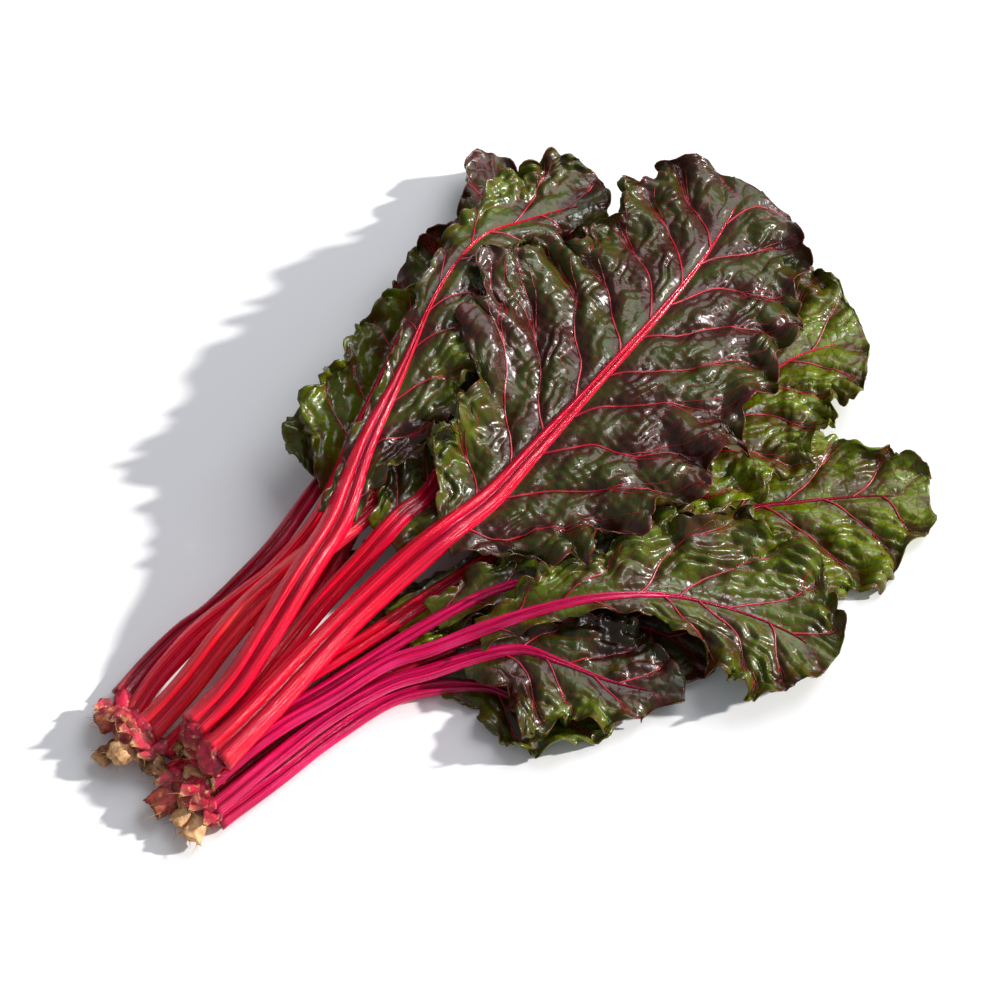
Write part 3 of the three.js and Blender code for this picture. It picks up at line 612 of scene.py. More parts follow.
# Where a margin is younger, greener and more frilled: side, middle and half-length along the leaf.
FRESH = {
    "top_broad": [(1, 178, 46)],
    "lower_right": [(1, 185, 60), (1, 285, 40)],
    "left_arched": [(1, 305, 45), (-1, 210, 30)],
    "front_purple": [(-1, 200, 30)],
    "left_green": [(1, 190, 60), (1, 270, 40)],
    "far_small": [(1, 175, 50)],
    "low_front": [(-1, 200, 75), (1, 195, 70)],
    "right_tip": [(1, 215, 60)],
    "narrow_wing": [(1, 190, 60)],
}


def leaf_skin(name, lamina, patches, vein, underside, share, net_share):
    """Living leaf: a waxy cuticle that shines in broad soft patches, over dark pigment."""
    material, tree, shader = new_material(name, Roughness=0.36, Specular_IOR_Level=0.36)
    along, outward, vein_at, rung_at, edge, below, fresh = (
        add_node(tree, "Attribute", {"attribute_name": title}).outputs["Fac"]
        for title in ("along", "outward", "vein", "rung", "edge", "below", "fresh")
    )
    place = add_node(tree, "CombineXYZ", X=along, Y=outward).outputs[0]
    # Random mottling, by its length in millimetres and its detail.
    broad, small, uneven, sheen, grain = (
        add_node(tree, "TexNoise", Vector=place, Scale=1 / length, Detail=detail).outputs[0]
        for length, detail in ((34, 3.0), (6, 4.0), (11, 3.0), (9, 2.0), (3.0, 2.0))
    )

    # How far the nearest line of a row is, where one lies at each whole number of the phase.
    from_lines = []
    for phase, spacing in ((vein_at, 0.8 * VEIN_SPACING), (rung_at, RUNG_SPACING)):
        for operation, number in (
            ("ADD", 0.5), ("FRACT", 0.0), ("SUBTRACT", 0.5), ("ABSOLUTE", 0.0), ("MULTIPLY", spacing),
        ):
            phase = add_node(tree, "Math", {"operation": operation}, i0=phase, i1=number).outputs[0]
        from_lines.append(phase)
    from_vein, from_rung = from_lines
    warp = add_node(tree, "TexNoise", Vector=place, Scale=1 / 6, Detail=2.0).outputs["Color"]
    warped = add_node(
        tree, "VectorMath", {"operation": "MULTIPLY_ADD"}, i0=warp, i1=(3.5, 3.5, 0.0), i2=place,
    )
    net = add_node(
        tree, "TexVoronoi", {"feature": "DISTANCE_TO_EDGE", "voronoi_dimensions": "2D"},
        Vector=warped.outputs[0], Scale=1 / 5.0,
    ).outputs[0]
    # Each follows a value between two bounds, and has the last two numbers at them.
    by_vein, young, vein_half, blister, roughness = (
        add_node(tree, "MapRange", Value=value, i1=start, i2=end, i3=first, i4=last).outputs[0]
        for value, start, end, first, last in (
            (from_vein, 0.0, 9.0, -0.1, 0.04), (uneven, 0.38, 0.6, 0.2, 1.0), (edge, 0.0, 1.0, 0.7, 0.16),
            (net, 0.0, 0.3, 0.0, 1.0), (sheen, 0.3, 0.7, 0.21, 0.36),
        )
    )
    # Plain arithmetic, by name: an operation and two values, which may be earlier results.
    sums = {}
    for title, operation, a, b in (
        ("broad part", "MULTIPLY", broad, 0.7), ("small part", "MULTIPLY", small, 0.3),
        ("mottle", "ADD", "broad part", "small part"), ("blotch", "ADD", "mottle", by_vein),
        ("young", "MULTIPLY", fresh, young), ("across vein", "DIVIDE", from_vein, vein_half),
        ("below", "MULTIPLY", below, 0.8), ("blister part", "MULTIPLY", blister, 0.6),
        ("grain part", "MULTIPLY", grain, 0.3), ("height", "ADD", "blister part", "grain part"),
    ):
        a, b = (sums[value] if isinstance(value, str) else value for value in (a, b))
        sums[title] = add_node(tree, "Math", {"operation": operation}, i0=a, i1=b).outputs[0]
    # What each layer follows, its bounds and its shares at them if it isn't a share yet, its colour.
    layers = (
        (sums["blotch"], (share - 0.05, share + 0.09, 0.0, 1.0), patches),  # blotches
        (sums["young"], None, "#526404"),                                   # young yellow-green
        (net, (0.02, 0.09, net_share, 0.0), vein),                          # the net of veinlets
        (from_rung, (0.1, 0.5, 0.5, 0.0), vein),                            # rungs between the veins
        (sums["across vein"], (0.7, 1.3, 0.7, 0.0), vein),                  # the side veins
        (sums["below"], None, underside),                                   # the underside
        (edge, (0.975, 1.0, 0.0, 0.5), vein),                               # the margin
    )
    colour = srgb(lamina)
    for field, bounds, tint in layers:
        if bounds:
            start, end, first, last = bounds
            field = add_node(tree, "MapRange", Value=field, i1=start, i2=end, i3=first, i4=last).outputs[0]
        colour = add_node(tree, "Mix", {"data_type": "RGBA"}, i0=field, i6=colour, i7=srgb(tint)).outputs[2]
    tree.links.new(colour, shader.inputs["Base Color"])
    tree.links.new(roughness, shader.inputs["Roughness"])
    relief = add_node(tree, "Bump", Height=sums["height"], Strength=0.4, Distance=0.0005).outputs[0]
    tree.links.new(relief, shader.inputs["Normal"])
    return material


blade_materials = {
    name: leaf_skin("chard_blade_" + name, *colours) for name, colours in BLADE_COLOURS.items()
}


def bump_at(value, middle, half):
    """A smooth hump, from 1 in the middle to 0 at this far either side."""
    share = np.clip(np.abs(value - middle) / half, 0, 1)
    return (1 - share**2) ** 2


def margin_width(leaf, side, s):
    """The distance from the midrib to the margin, with its lobes, its teeth and its rounded tip."""
    values = leaf["left"] if side > 0 else leaf["right"]
    length = leaf["path"].length
    past = np.maximum(0, (s - length + TIP_ROUND) / (TIP_REACH + TIP_ROUND))
    lobes = 1 + LOBE_DEPTH * np.sin(2 * np.pi * s / LOBE_LENGTH + leaf["phase"] + side)
    scallop = np.abs(np.sin(np.pi * s / TOOTH_LENGTH + 1.3 * wander(s, 0 * s, 26, leaf["seed"] + side)))
    teeth = TOOTH_DEPTH * (scallop**0.7 - 0.6) * (1 + 0.6 * wander(s, 0 * s, 15, leaf["seed"] + 2 * side))
    teeth = teeth + 1.6 * wander(s, 0 * s, 2.2 * TOOTH_LENGTH, leaf["seed"] + 3 * side)
    round_tip = np.maximum(0, 1 - past**2.6) ** 0.5
    width = evenly(values, (s - leaf["from"]) / (length - leaf["from"])) * lobes
    return (width + teeth * np.clip(width / 20, 0, 1)) * round_tip


def side_vein_start(out):
    """How much further on a side vein is than a straight one, because it leaves the midrib late."""
    return VEIN_START * (1 - np.exp(-out / VEIN_START))


def vein_count(leaf, s, out, left):
    """Counts the side veins along the leaf: a whole number on each vein."""
    signed = np.where(left, out, -out)
    shift = 3.5 * wander(s, signed, 42, leaf["seed"] + 10)
    origin = s + shift - VEIN_LEAN * out - VEIN_BEND * out**2 - side_vein_start(out)
    return origin / VEIN_SPACING + np.where(left, 0.0, 0.46) + 0.1 * wander(s, signed, 70, leaf["seed"] + 11)


class Heap:
    """The height of all the leaves that have been laid down so far, on a grid in plan."""

    def __init__(self):
        self.low = np.array(GRID_REACH) * -1
        self.top = np.zeros([int(2 * reach) + 1 for reach in GRID_REACH])

    def cells(self, places):
        place = np.rint(places[..., :2] - self.low).astype(int)
        return tuple(np.clip(place[..., k], 1, self.top.shape[k] - 2) for k in (0, 1))

    def add(self, places):
        np.maximum.at(self.top, self.cells(places), places[..., 2])

    def floor(self, places):
        i, j = self.cells(places)
        near = [self.top[i + a, j + b] for a in (-1, 0, 1) for b in (-1, 0, 1)]
        top = np.max(near, 0)
        return np.where(top > 0, top + CLEARANCE, 0.02)


def spread_over(field, rounds):
    """Blurs a field over the rows and columns of a sheet, never below what it was."""
    wide = field
    for _ in range(rounds):
        padded = np.pad(wide, 1, mode="edge")
        mean = (padded[:-2, 1:-1] + padded[2:, 1:-1] + padded[1:-1, :-2] + padded[1:-1, 2:]) / 4
        wide = np.maximum(field, 0.5 * wide + 0.5 * mean)
    return wide


def surface_normals(places):
    down, over = np.gradient(places, axis=0), np.gradient(places, axis=1)
    normal = np.cross(over, down)
    return normal / np.maximum(np.linalg.norm(normal, axis=-1, keepdims=True), 1e-9)


def thicken(places):
    """Closes a sheet of places into a thin solid: the sheet, its underside and the rim between."""
    below = places - BLADE_THICKNESS * surface_normals(places)
    below[..., 2] = np.maximum(below[..., 2], 0.02)
    high, wide = places.shape[:2]
    grid = np.arange(high * wide).reshape(high, wide)
    upper = np.stack([grid[:-1, :-1], grid[:-1, 1:], grid[1:, 1:], grid[1:, :-1]], -1).reshape(-1, 4)
    lower = upper[:, ::-1] + high * wide
    ring = np.concatenate([grid[0], grid[1:, -1], grid[-1, -2::-1], grid[-2:0:-1, 0]])
    after = np.roll(ring, -1)
    wall = np.stack([after, ring, ring + high * wide, after + high * wide], -1)
    points = np.vstack([places.reshape(-1, 3), below.reshape(-1, 3)])
    return points, np.vstack([upper, lower, wall]).tolist()


def blade_facts(**fields):
    """Facts for the sheet and again for its underside, and which of the two each point is on."""
    facts = {title: np.concatenate([field.ravel(), field.ravel()]) for title, field in fields.items()}
    facts["below"] = np.repeat([0.0, 1.0], fields["along"].size)
    return facts


def build_blade(leaf, heap, ceilings):
    """A blade on both sides of its midrib, puckered, ruffled and rolled, laid on what is below it."""
    path, seed, name = leaf["path"], leaf["seed"], leaf["name"]
    step = COARSE_STEP if name in COARSE_LEAVES else FINE_STEP
    rows = np.arange(leaf["from"], path.length + 0.985 * TIP_REACH, step)
    counts = [int(max(leaf[side]) * 1.1 / step) for side in ("left", "right")]
    shares = np.concatenate([np.linspace(1, 0, counts[0] + 1), -np.linspace(0, 1, counts[1] + 1)[1:]])
    sides = np.where(np.arange(len(shares)) <= counts[0], 1, -1)
    s, share = np.meshgrid(rows, np.abs(shares), indexing="ij")
    left = np.broadcast_to(sides > 0, s.shape)
    reach = np.where(left, margin_width(leaf, 1, s), margin_width(leaf, -1, s))
    reach = np.maximum(reach, stalk_width(leaf, s) / 2 + 1)

    # A rolled margin is longer than it looks, and turns about a line a little way inside it.
    turn, breadth = np.zeros_like(s), np.full_like(s, 1.0)
    for side, centre, half, angle, wide in ROLLS.get(name, []):
        amount = bump_at(s, centre, half) * (left == (side > 0))
        turn = turn + angle * amount
        breadth = breadth + wide * amount
    breadth = np.minimum(breadth, 0.7 * reach)
    radius = breadth / np.maximum(turn, 0.05)
    flat = reach + breadth - radius * np.sin(np.minimum(turn, np.pi / 2))
    arc = flat * share
    bend = np.clip((arc - (flat - breadth)) / radius, 0, None)
    rolled = (bend > 0) & (turn > 0.05)
    bend = np.where(rolled, bend, 0)
    out = np.where(rolled, flat - breadth + radius * np.sin(bend), arc)
    rolled_up = np.where(rolled, radius * (1 - np.cos(bend)), 0)

    vein = vein_count(leaf, s, arc, left)
    strip = np.floor(vein)
    signed = arc * sides
    jitter = np.modf(np.abs(np.sin(strip * 12.9898 + seed + np.where(left, 0, 5)) * 437.5))[0]
    rung = (1.2 * arc - 0.35 * s + 3.2 * wander(s, signed, 19, seed + 12)) / RUNG_SPACING + jitter
    strips, rungs = np.abs(np.sin(np.pi * vein)), np.abs(np.sin(np.pi * rung))
    crumple = 0.5 + 0.5 * wander(s, signed, 30, seed + 15) + GREEN_CRUMPLE * (leaf["blade"] != "purple")
    swell = STRIP_HEIGHT * strips**0.7 + RUNG_HEIGHT * crumple * rungs**0.8 * strips**0.5
    swell = swell - SWELL_MEAN + LUMP_HEIGHT * wander(s, signed, 13, seed + 16)
    swell = swell + BLISTER_HEIGHT * wander(s, signed, 5.5, seed + 13)
    fresh = np.zeros_like(s)
    for side, centre, half in FRESH.get(name, []):
        outer = np.clip((share - 0.25) / 0.4, 0, 1) * (left == (side > 0))
        fresh = np.maximum(fresh, bump_at(s, centre, half) * outer)
    swell = swell + FRESH_BLISTERS * fresh * np.abs(wander(s, signed, 9, seed + 18))
    swell = swell * np.clip((arc - 2) / 14, 0, 1)
    loose = np.clip((share - 0.4) / 0.6, 0, 1) ** 1.5 * np.clip(out / 14, 0, 1)
    loose = loose * np.cos(np.minimum(bend, 1.5))
    wave = 2 * np.pi * s / RUFFLE_LENGTH + 2.5 * wander(s, signed, 60, seed + 14) + 2 * sides
    frill = 2 * np.pi * s / FRILL_LENGTH + 2.5 * wander(s, signed, 30, seed + 17)
    fine = np.clip((share - 0.75) / 0.25, 0, 1) ** 1.5 * np.clip(out / 14, 0, 1)
    lift = RUFFLE_HEIGHT * loose * np.sin(wave) + FRILL_HEIGHT * (1 + fresh) * fine * np.sin(frill)

    places = np.empty(s.shape + (3,))
    middle, across, along = path.at(s), path.across(s), path.along(s)
    sideways = (out - swell * np.sin(bend) + RUFFLE_SWAY * loose * np.cos(wave)) * sides
    forward = -RUFFLE_SLIDE * loose * np.cos(wave) - FRILL_SLIDE * fine * np.cos(frill)
    places[..., :2] = middle + sideways[..., None] * across + forward[..., None] * along
    base = leaf["blade_relief"].at(places[..., 0], places[..., 1])
    places[..., 2] = base + swell * np.cos(bend) + lift + rolled_up

    rib = np.interp(s, leaf["rib_rows"], leaf["rib_edge"]) - 0.4
    rooted = np.clip((out - 0.5 * stalk_width(leaf, s)) / ROOT_LENGTH, 0, 1)
    rooted = rooted * rooted * (3 - 2 * rooted)
    places[..., 2] = rib + (places[..., 2] - rib) * rooted
    for _ in range(LAYING_ROUNDS):
        short = rooted * (heap.floor(places) + BLADE_THICKNESS - places[..., 2])
        places[..., 2] += spread_over(np.maximum(short, 0), LIFT_SPREAD)
        tall = places[..., 2] - ceilings.at(places)
        places[..., 2] -= spread_over(np.maximum(tall, 0), PRESS_SPREAD)
    over = np.maximum(places[..., 2] - CREST_FROM, 0)
    places[..., 2] += CREST_SPAN * (1 - np.exp(-over / CREST_SPAN)) - over
    leaf["sheet"] = {"places": places, "start": rows[0], "step": step, "counts": counts, "flat": flat}
    heap.add(places)

    points, faces = thicken(places)
    facts = blade_facts(along=s, outward=signed, edge=share, vein=vein, rung=rung, fresh=fresh)
    skin, slot, node = blade_materials[leaf["blade"]], BLADE_SLOTS[leaf["blade"]], "blade_" + name
    make_piece(node + "_fine", points, faces, facts, skin, node)


class Ceilings:
    """The undersides of the stalks that lie above a leaf, on a grid in plan."""

    def __init__(self, heap, stalks):
        self.heap = heap
        self.height = np.full(heap.top.shape, 1000.0)
        for places in stalks:
            for between in (0, 0.33, 0.67):
                near = places[:-1] * (1 - between) + places[1:] * between
                np.minimum.at(self.height, heap.cells(near), near[..., 2])

    def at(self, places):
        i, j = self.heap.cells(places)
        near = [self.height[i + a, j + b] for a in (-1, 0, 1) for b in (-1, 0, 1)]
        return np.min(near, 0) - CLEARANCE


heap = Heap()
for order, leaf in enumerate(LEAVES):
    above = [other["stalk_places"] for other in LEAVES[order + 1:]]
    build_blade(leaf, heap, Ceilings(heap, above))
    heap.add(leaf["stalk_places"])


# ---------------------------------------------------------------- wings
# Wings of leaf: narrow ruffled strips of blade that run on down beside a stalk, dark and crowded
# in the shade between the stalks. Each grew with its leaf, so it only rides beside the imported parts.

WING_COLUMNS = 14
WING_RUFFLE = 1.4
WING_HEIGHT = 0.55
WING_STEP = 1.3
WING_RUFFLE_LENGTH = 9
WING_VEIN_SPACING = 16
WING_RUNG_SPACING = 7
WING_LEAST_HEIGHT = 0.7
# The leaf, its side, where the wing begins and ends along the stalk, and how broad it is.
WINGS = [
    ("right_green", 1, 66, 178, 13),
    ("middle", 1, 84, 150, 10),
]


def build_wing(leaf, side, begins, ends, breadth):
    """A narrow ruffled strip along one side of a stalk, tapering at both ends."""
    path, seed = leaf["path"], leaf["seed"] + 30
    rows = np.arange(begins, ends, WING_STEP)
    shares = np.linspace(1, 0, WING_COLUMNS)[::side]
    s, share = np.meshgrid(rows, shares, indexing="ij")
    reach = breadth * np.sin(np.pi * (s - begins + 4) / (ends - begins + 8)) ** 0.6
    reach = reach * (1 + 0.16 * wander(s, 0 * s, 12, seed) + 0.1 * wander(s, 0 * s, 5, seed + 1))
    out = 0.4 * stalk_width(leaf, s) + reach * share
    wave = 2 * np.pi * s / WING_RUFFLE_LENGTH + 2.5 * wander(s, out, 30, seed + 2)
    edge = np.interp(s, leaf["rib_rows"], leaf["rib_edge"])
    places = np.empty(s.shape + (3,))
    sideways = side * (out + 0.8 * share * np.cos(wave))
    places[..., :2] = path.at(s) + sideways[..., None] * path.across(s)
    places[..., 2] = edge * (WING_HEIGHT - 0.4 * share) + WING_RUFFLE * share * (1 + np.sin(wave))
    places[..., 2] += 0.8 * wander(s, out, 6, seed + 3)
    places[..., 2] = np.maximum(places[..., 2], WING_LEAST_HEIGHT)
    points, faces = thicken(places)
    facts = blade_facts(
        along=s, outward=side * out, edge=0.9 * share, vein=s / WING_VEIN_SPACING + 0.25,
        rung=out / WING_RUNG_SPACING + 0.5, fresh=0.5 * share,
    )
    name = "wing_" + leaf["name"] + "_fine"
    make_piece(name, points, faces, facts, blade_materials["green"], None)


for name, *wing in WINGS:
    build_wing(next(leaf for leaf in LEAVES if leaf["name"] == name), *wing)


# ---------------------------------------------------------------- side veins
# The side veins: thin crimson cords that leave the midrib on both sides, stand proud of the blade,
# and fork towards the margin. Each is swept along its own line, thick at the midrib and fine at the end.

VEIN_RADIUS = 0.72
VEIN_STEP = 2.2
VEIN_END = 0.93
FORK_AT = 0.55
FORK_SPREAD = 0.34
VEIN_SIDES = 7


def vein_sweep():
    """A node tree that gives each line a round section, by the radius kept along it."""
    tree = bpy.data.node_groups.new("side_vein_sweep", "GeometryNodeTree")
    for title, kind in (("Geometry", "Geometry"), ("Sides", "Int"), ("Skin", "Material")):
        tree.interface.new_socket(title, in_out="INPUT", socket_type="NodeSocket" + kind)
    tree.interface.new_socket("Geometry", in_out="OUTPUT", socket_type="NodeSocketGeometry")
    source, result = tree.nodes.new("NodeGroupInput"), tree.nodes.new("NodeGroupOutput")
    circle = add_node(tree, "CurvePrimitiveCircle", Radius=1.0, Resolution=source.outputs["Sides"])
    sweep = add_node(
        tree, "CurveToMesh",
        Curve=source.outputs["Geometry"], Profile_Curve=circle.outputs["Curve"], Fill_Caps=True,
    )
    if "Scale" in sweep.inputs:
        radius = add_node(tree, "InputRadius")
        tree.links.new(radius.outputs["Radius"], sweep.inputs["Scale"])
    real = add_node(tree, "RealizeInstances", Geometry=sweep.outputs["Mesh"])
    skin = add_node(tree, "SetMaterial", Geometry=real.outputs["Geometry"])
    tree.links.new(source.outputs["Skin"], skin.inputs["Material"])
    tree.links.new(skin.outputs["Geometry"], result.inputs["Geometry"])
    return tree


def vein_skin():
    """Vein skin: red as the stalk's but darker and less wet, faintly mottled along the cord."""
    material, tree, shader = new_material("chard_vein_skin", Roughness=0.34, Specular_IOR_Level=0.55)
    place = add_node(tree, "TexCoord").outputs["Object"]
    tone = add_node(tree, "TexNoise", Vector=place, Scale=160.0, Detail=3.0).outputs[0]
    share = add_node(tree, "MapRange", Value=tone, i1=0.35, i2=0.65).outputs[0]
    deep, bright = srgb("#800014"), srgb("#b00622")
    colour = add_node(tree, "Mix", {"data_type": "RGBA"}, i0=share, i6=deep, i7=bright).outputs[2]
    tree.links.new(colour, shader.inputs["Base Color"])
    return material


def on_sheet(leaf, s, arc, left):
    """The place on a blade's upper side, so far along the leaf and so far out from its midrib."""
    sheet = leaf["sheet"]
    places, counts = sheet["places"], sheet["counts"]
    i = np.clip((s - sheet["start"]) / sheet["step"], 0, places.shape[0] - 1.001)
    row = np.rint(i).astype(int)
    reach = sheet["flat"][row, 0 if left else -1]
    share = np.clip(arc / reach, 0, 1)
    j = counts[0] * (1 - share) if left else counts[0] + counts[1] * share
    j = np.clip(j, 0, places.shape[1] - 1.001)
    return between_cells(places, i, j), share


def vein_line(leaf, number, left, arc):
    """How far along the leaf one side vein is, at each distance out from the midrib."""
    s = number * VEIN_SPACING + VEIN_LEAN * arc
    for _ in range(8):
        s = s - (vein_count(leaf, s, arc, np.full(arc.shape, left)) - number) * VEIN_SPACING
    return s


def side_vein_lines(leaf):
    """Every side vein and fork of a leaf, as a line of places and a radius for each."""
    lines = []
    size = 0.55 + 0.45 * min(1.0, max(leaf["left"] + leaf["right"]) / 60)
    last = leaf["path"].length + TIP_REACH
    for left in (True, False):
        for number in range(int(leaf["from"] / VEIN_SPACING) - 1, int(last / VEIN_SPACING) + 1):
            arc = np.arange(0.3, 90, VEIN_STEP)
            s = vein_line(leaf, number, left, arc)
            if s[0] < leaf["from"] + 3 or s[0] > leaf["path"].length * 0.97:
                continue
            places, share = on_sheet(leaf, s, arc, left)
            kept = (share < VEIN_END) & (s < last - 2)
            stop = len(kept) if kept.all() else int(np.argmin(kept))
            if stop < 4:
                continue
            t = np.arange(stop) / (stop - 1)
            radius = VEIN_RADIUS * size * (1 - 0.8 * t**0.8)
            line = places[:stop].copy()
            line[:, 2] += 0.1
            lines.append((line, radius))
            fork = int(FORK_AT * stop)
            if stop - fork < 4:
                continue
            spread = (arc[fork:] - arc[fork]) * FORK_SPREAD
            for way in (1, -1):
                branch, share = on_sheet(leaf, s[fork:] + way * spread, arc[fork:], left)
                kept = (share < VEIN_END) & (s[fork:] + way * spread < last - 2)
                end = len(kept) if kept.all() else int(np.argmin(kept))
                if end > 3:
                    branch[:, 2] += 0.05
                    thin = radius[fork] * 0.75 * np.linspace(1, 0.35, end)
                    lines.append((branch[:end], thin))
    return lines


def build_cords(name, lines, sides, tree, skin):
    """Sweeps every line, a list of places and a radius for each, into one piece that only rides."""
    curve = bpy.data.curves.new(name, "CURVE")
    curve.dimensions = "3D"
    for places, radius in lines:
        spline = curve.splines.new("POLY")
        spline.points.add(len(places) - 1)
        spline.points.foreach_set("co", np.column_stack([places * 0.001, np.ones(len(places))]).ravel())
        spline.points.foreach_set("radius", radius * 0.001)
    source = bpy.data.objects.new(name, curve)
    bpy.context.scene.collection.objects.link(source)
    sweep = source.modifiers.new("sweep", "NODES")
    sweep.node_group = tree
    inputs = {item.name: item.identifier for item in tree.interface.items_tree if item.in_out == "INPUT"}
    sweep[inputs["Sides"]] = sides
    sweep[inputs["Skin"]] = skin
    bpy.context.view_layer.update()
    evaluated = source.evaluated_get(bpy.context.evaluated_depsgraph_get())
    mesh = bpy.data.meshes.new_from_object(evaluated)
    bpy.data.objects.remove(source)
    keep_piece(name, mesh)


sweep_tree, cord_skin = vein_sweep(), vein_skin()
for leaf in LEAVES:
    lines = side_vein_lines(leaf)
    name, slot = "veins_" + leaf["name"] + "_fine", "stalk_" + leaf["stalk"]
    build_cords(name, lines, VEIN_SIDES, sweep_tree, cord_skin)


# ---------------------------------------------------------------- crowns
# The three root crowns that the stalks grew from, torn off and trimmed by hand: a core of ragged
# red tissue, stubs of cut stalk and root with tan faces, curled scales, and fine dried rootlets.

BIT_ROWS = 13
BIT_SIDES = 22
FACE_RINGS = (0.86, 0.5, 0.02)
CROWN_DROP = 0.02
CROWN_LEAST_X = -220.0
ROOTLETS = 60
ROOTLET_LENGTH = (2.0, 5.5)
ROOTLET_RADIUS = 0.13
ROOTLET_SIDES = 4
# Kind of bit: how red and how pale its skin is, how flat it is, how far it bends up, how rough.
BITS = {
    "core": (0.7, 0.0, 0.8, 0.0, 0.16),
    "collar": (1.0, 0.0, 0.62, 0.0, 0.05),
    "stub": (0.6, 0.0, 0.8, 0.0, 0.08),
    "root": (0.0, 0.0, 0.85, 0.0, 0.12),
    "fresh": (0.3, 0.7, 0.8, 0.0, 0.1),
    "oval": (0.7, 0.35, 0.5, 0.0, 0.05),
    "scale": (0.95, 0.0, 0.3, 0.35, 0.07),
    "curl": (0.12, 0.0, 0.6, 0.1, 0.16),
    "spike": (0.3, 0.1, 0.7, 0.2, 0.12),
}
# Each crown: the stalks that grow from it, and its bits as kind, start, end and radii.
CROWNS = {
    "crown_left": {
        "stalks": ("far_purple", "far_small", "left_green", "under_middle"),
        "towards": (-202, 32, 9),
        "bits": [
            ("core", (-192, 34, 9), (-206, 32, 9), (6, 12, 10, 4)),
            ("core", (-197, 42, 10), (-200, 21, 8), (4, 8, 8, 4)),
            ("stub", (-194, 45, 10), (-207, 48, 9), (4, 5.6, 5.4)),
            ("fresh", (-202, 30, 10), (-212, 29, 11), (4, 6.5, 4.6)),
            ("curl", (-204, 36, 6), (-218, 35, 5), (3, 4.4, 4.2)),
            ("root", (-200, 25, 7), (-199, 9, 5.5), (3.4, 5.4, 4.6, 2)),
            ("scale", (-193, 33, 14), (-203, 36, 18), (3, 4.6, 3.4, 1)),
            ("scale", (-194, 25, 13), (-203, 27, 17), (3, 5.2, 4, 1.2)),
            ("scale", (-196, 19, 11), (-204, 22, 14), (2.6, 4.4, 3, 1)),
            ("scale", (-193, 41, 14), (-203, 42, 18), (2.4, 4, 2.8, 0.6)),
            ("spike", (-196, 38, 15), (-199, 41, 22), (2.6, 1.9, 0.5)),
            ("scale", (-195, 53, 7), (-203, 55, 9), (2.6, 3.6, 1.4)),
        ],
    },
    "crown_lower": {
        "stalks": ("right_green", "right_tip", "low_shaded", "lower_right", "front_purple", "low_front"),
        "towards": (-203, -10, 8),
        "bits": [
            ("core", (-193, -9, 9), (-204, -10, 8), (6, 11, 9, 3)),
            ("core", (-195, 2, 8), (-197, -22, 8), (4, 7, 7, 3)),
            ("stub", (-198, -2, 8), (-214, 0, 7), (4.6, 6.6, 6.4, 6)),
            ("fresh", (-199, -12, 9), (-210, -13, 6.5), (3.4, 4.6, 4.4)),
            ("fresh", (-199, -18, 8), (-210, -23, 6), (3.8, 4.6, 5.6)),
            ("root", (-188, -8, 13), (-182, -12, 12), (3, 5.4, 4, 2)),
            ("collar", (-184, -1, 10), (-199, -6, 11), (3, 4, 3.4, 1.4)),
            ("scale", (-193, -7, 14), (-202, -8, 18), (3, 4.6, 3.2, 1)),
            ("scale", (-194, -14, 13), (-203, -16, 16), (3, 4.8, 3, 1)),
            ("scale", (-193, -21, 11), (-202, -25, 13), (2.4, 4, 2.6, 1)),
            ("scale", (-197, 4, 9), (-206, 7, 11), (2.6, 3.4, 1.2)),
            ("spike", (-196, 6, 8), (-203, 12, 9), (1.8, 1.4, 0.6)),
        ],
    },
    "crown_middle": {
        "stalks": ("middle", "left_arched", "top_broad"),
        "towards": (-187, 3, 9),
        "bits": [
            ("core", (-180, 14, 9), (-181, -9, 8), (4, 7.6, 7.6, 4)),
            ("scale", (-183, 12, 14), (-184, -8, 13), (1.6, 3.4, 3.4, 1.6)),
            ("root", (-180, 12, 9), (-188, 12, 9), (4, 5, 4.2)),
            ("oval", (-181, 0, 7), (-190.5, -4.5, 13), (5, 7.4, 6.8)),
            ("scale", (-179, 6, 14), (-187, 6, 15), (6, 6.6, 2)),
            ("scale", (-178, -8, 13), (-185, -9, 16), (4, 4.6, 1.6)),
            ("spike", (-179, 15, 11), (-179, 20, 19), (2.6, 1.8, 0.6)),
            ("scale", (-178, -9, 9), (-186, -11, 8), (2.4, 3.6, 1.2)),
        ],
    },
}


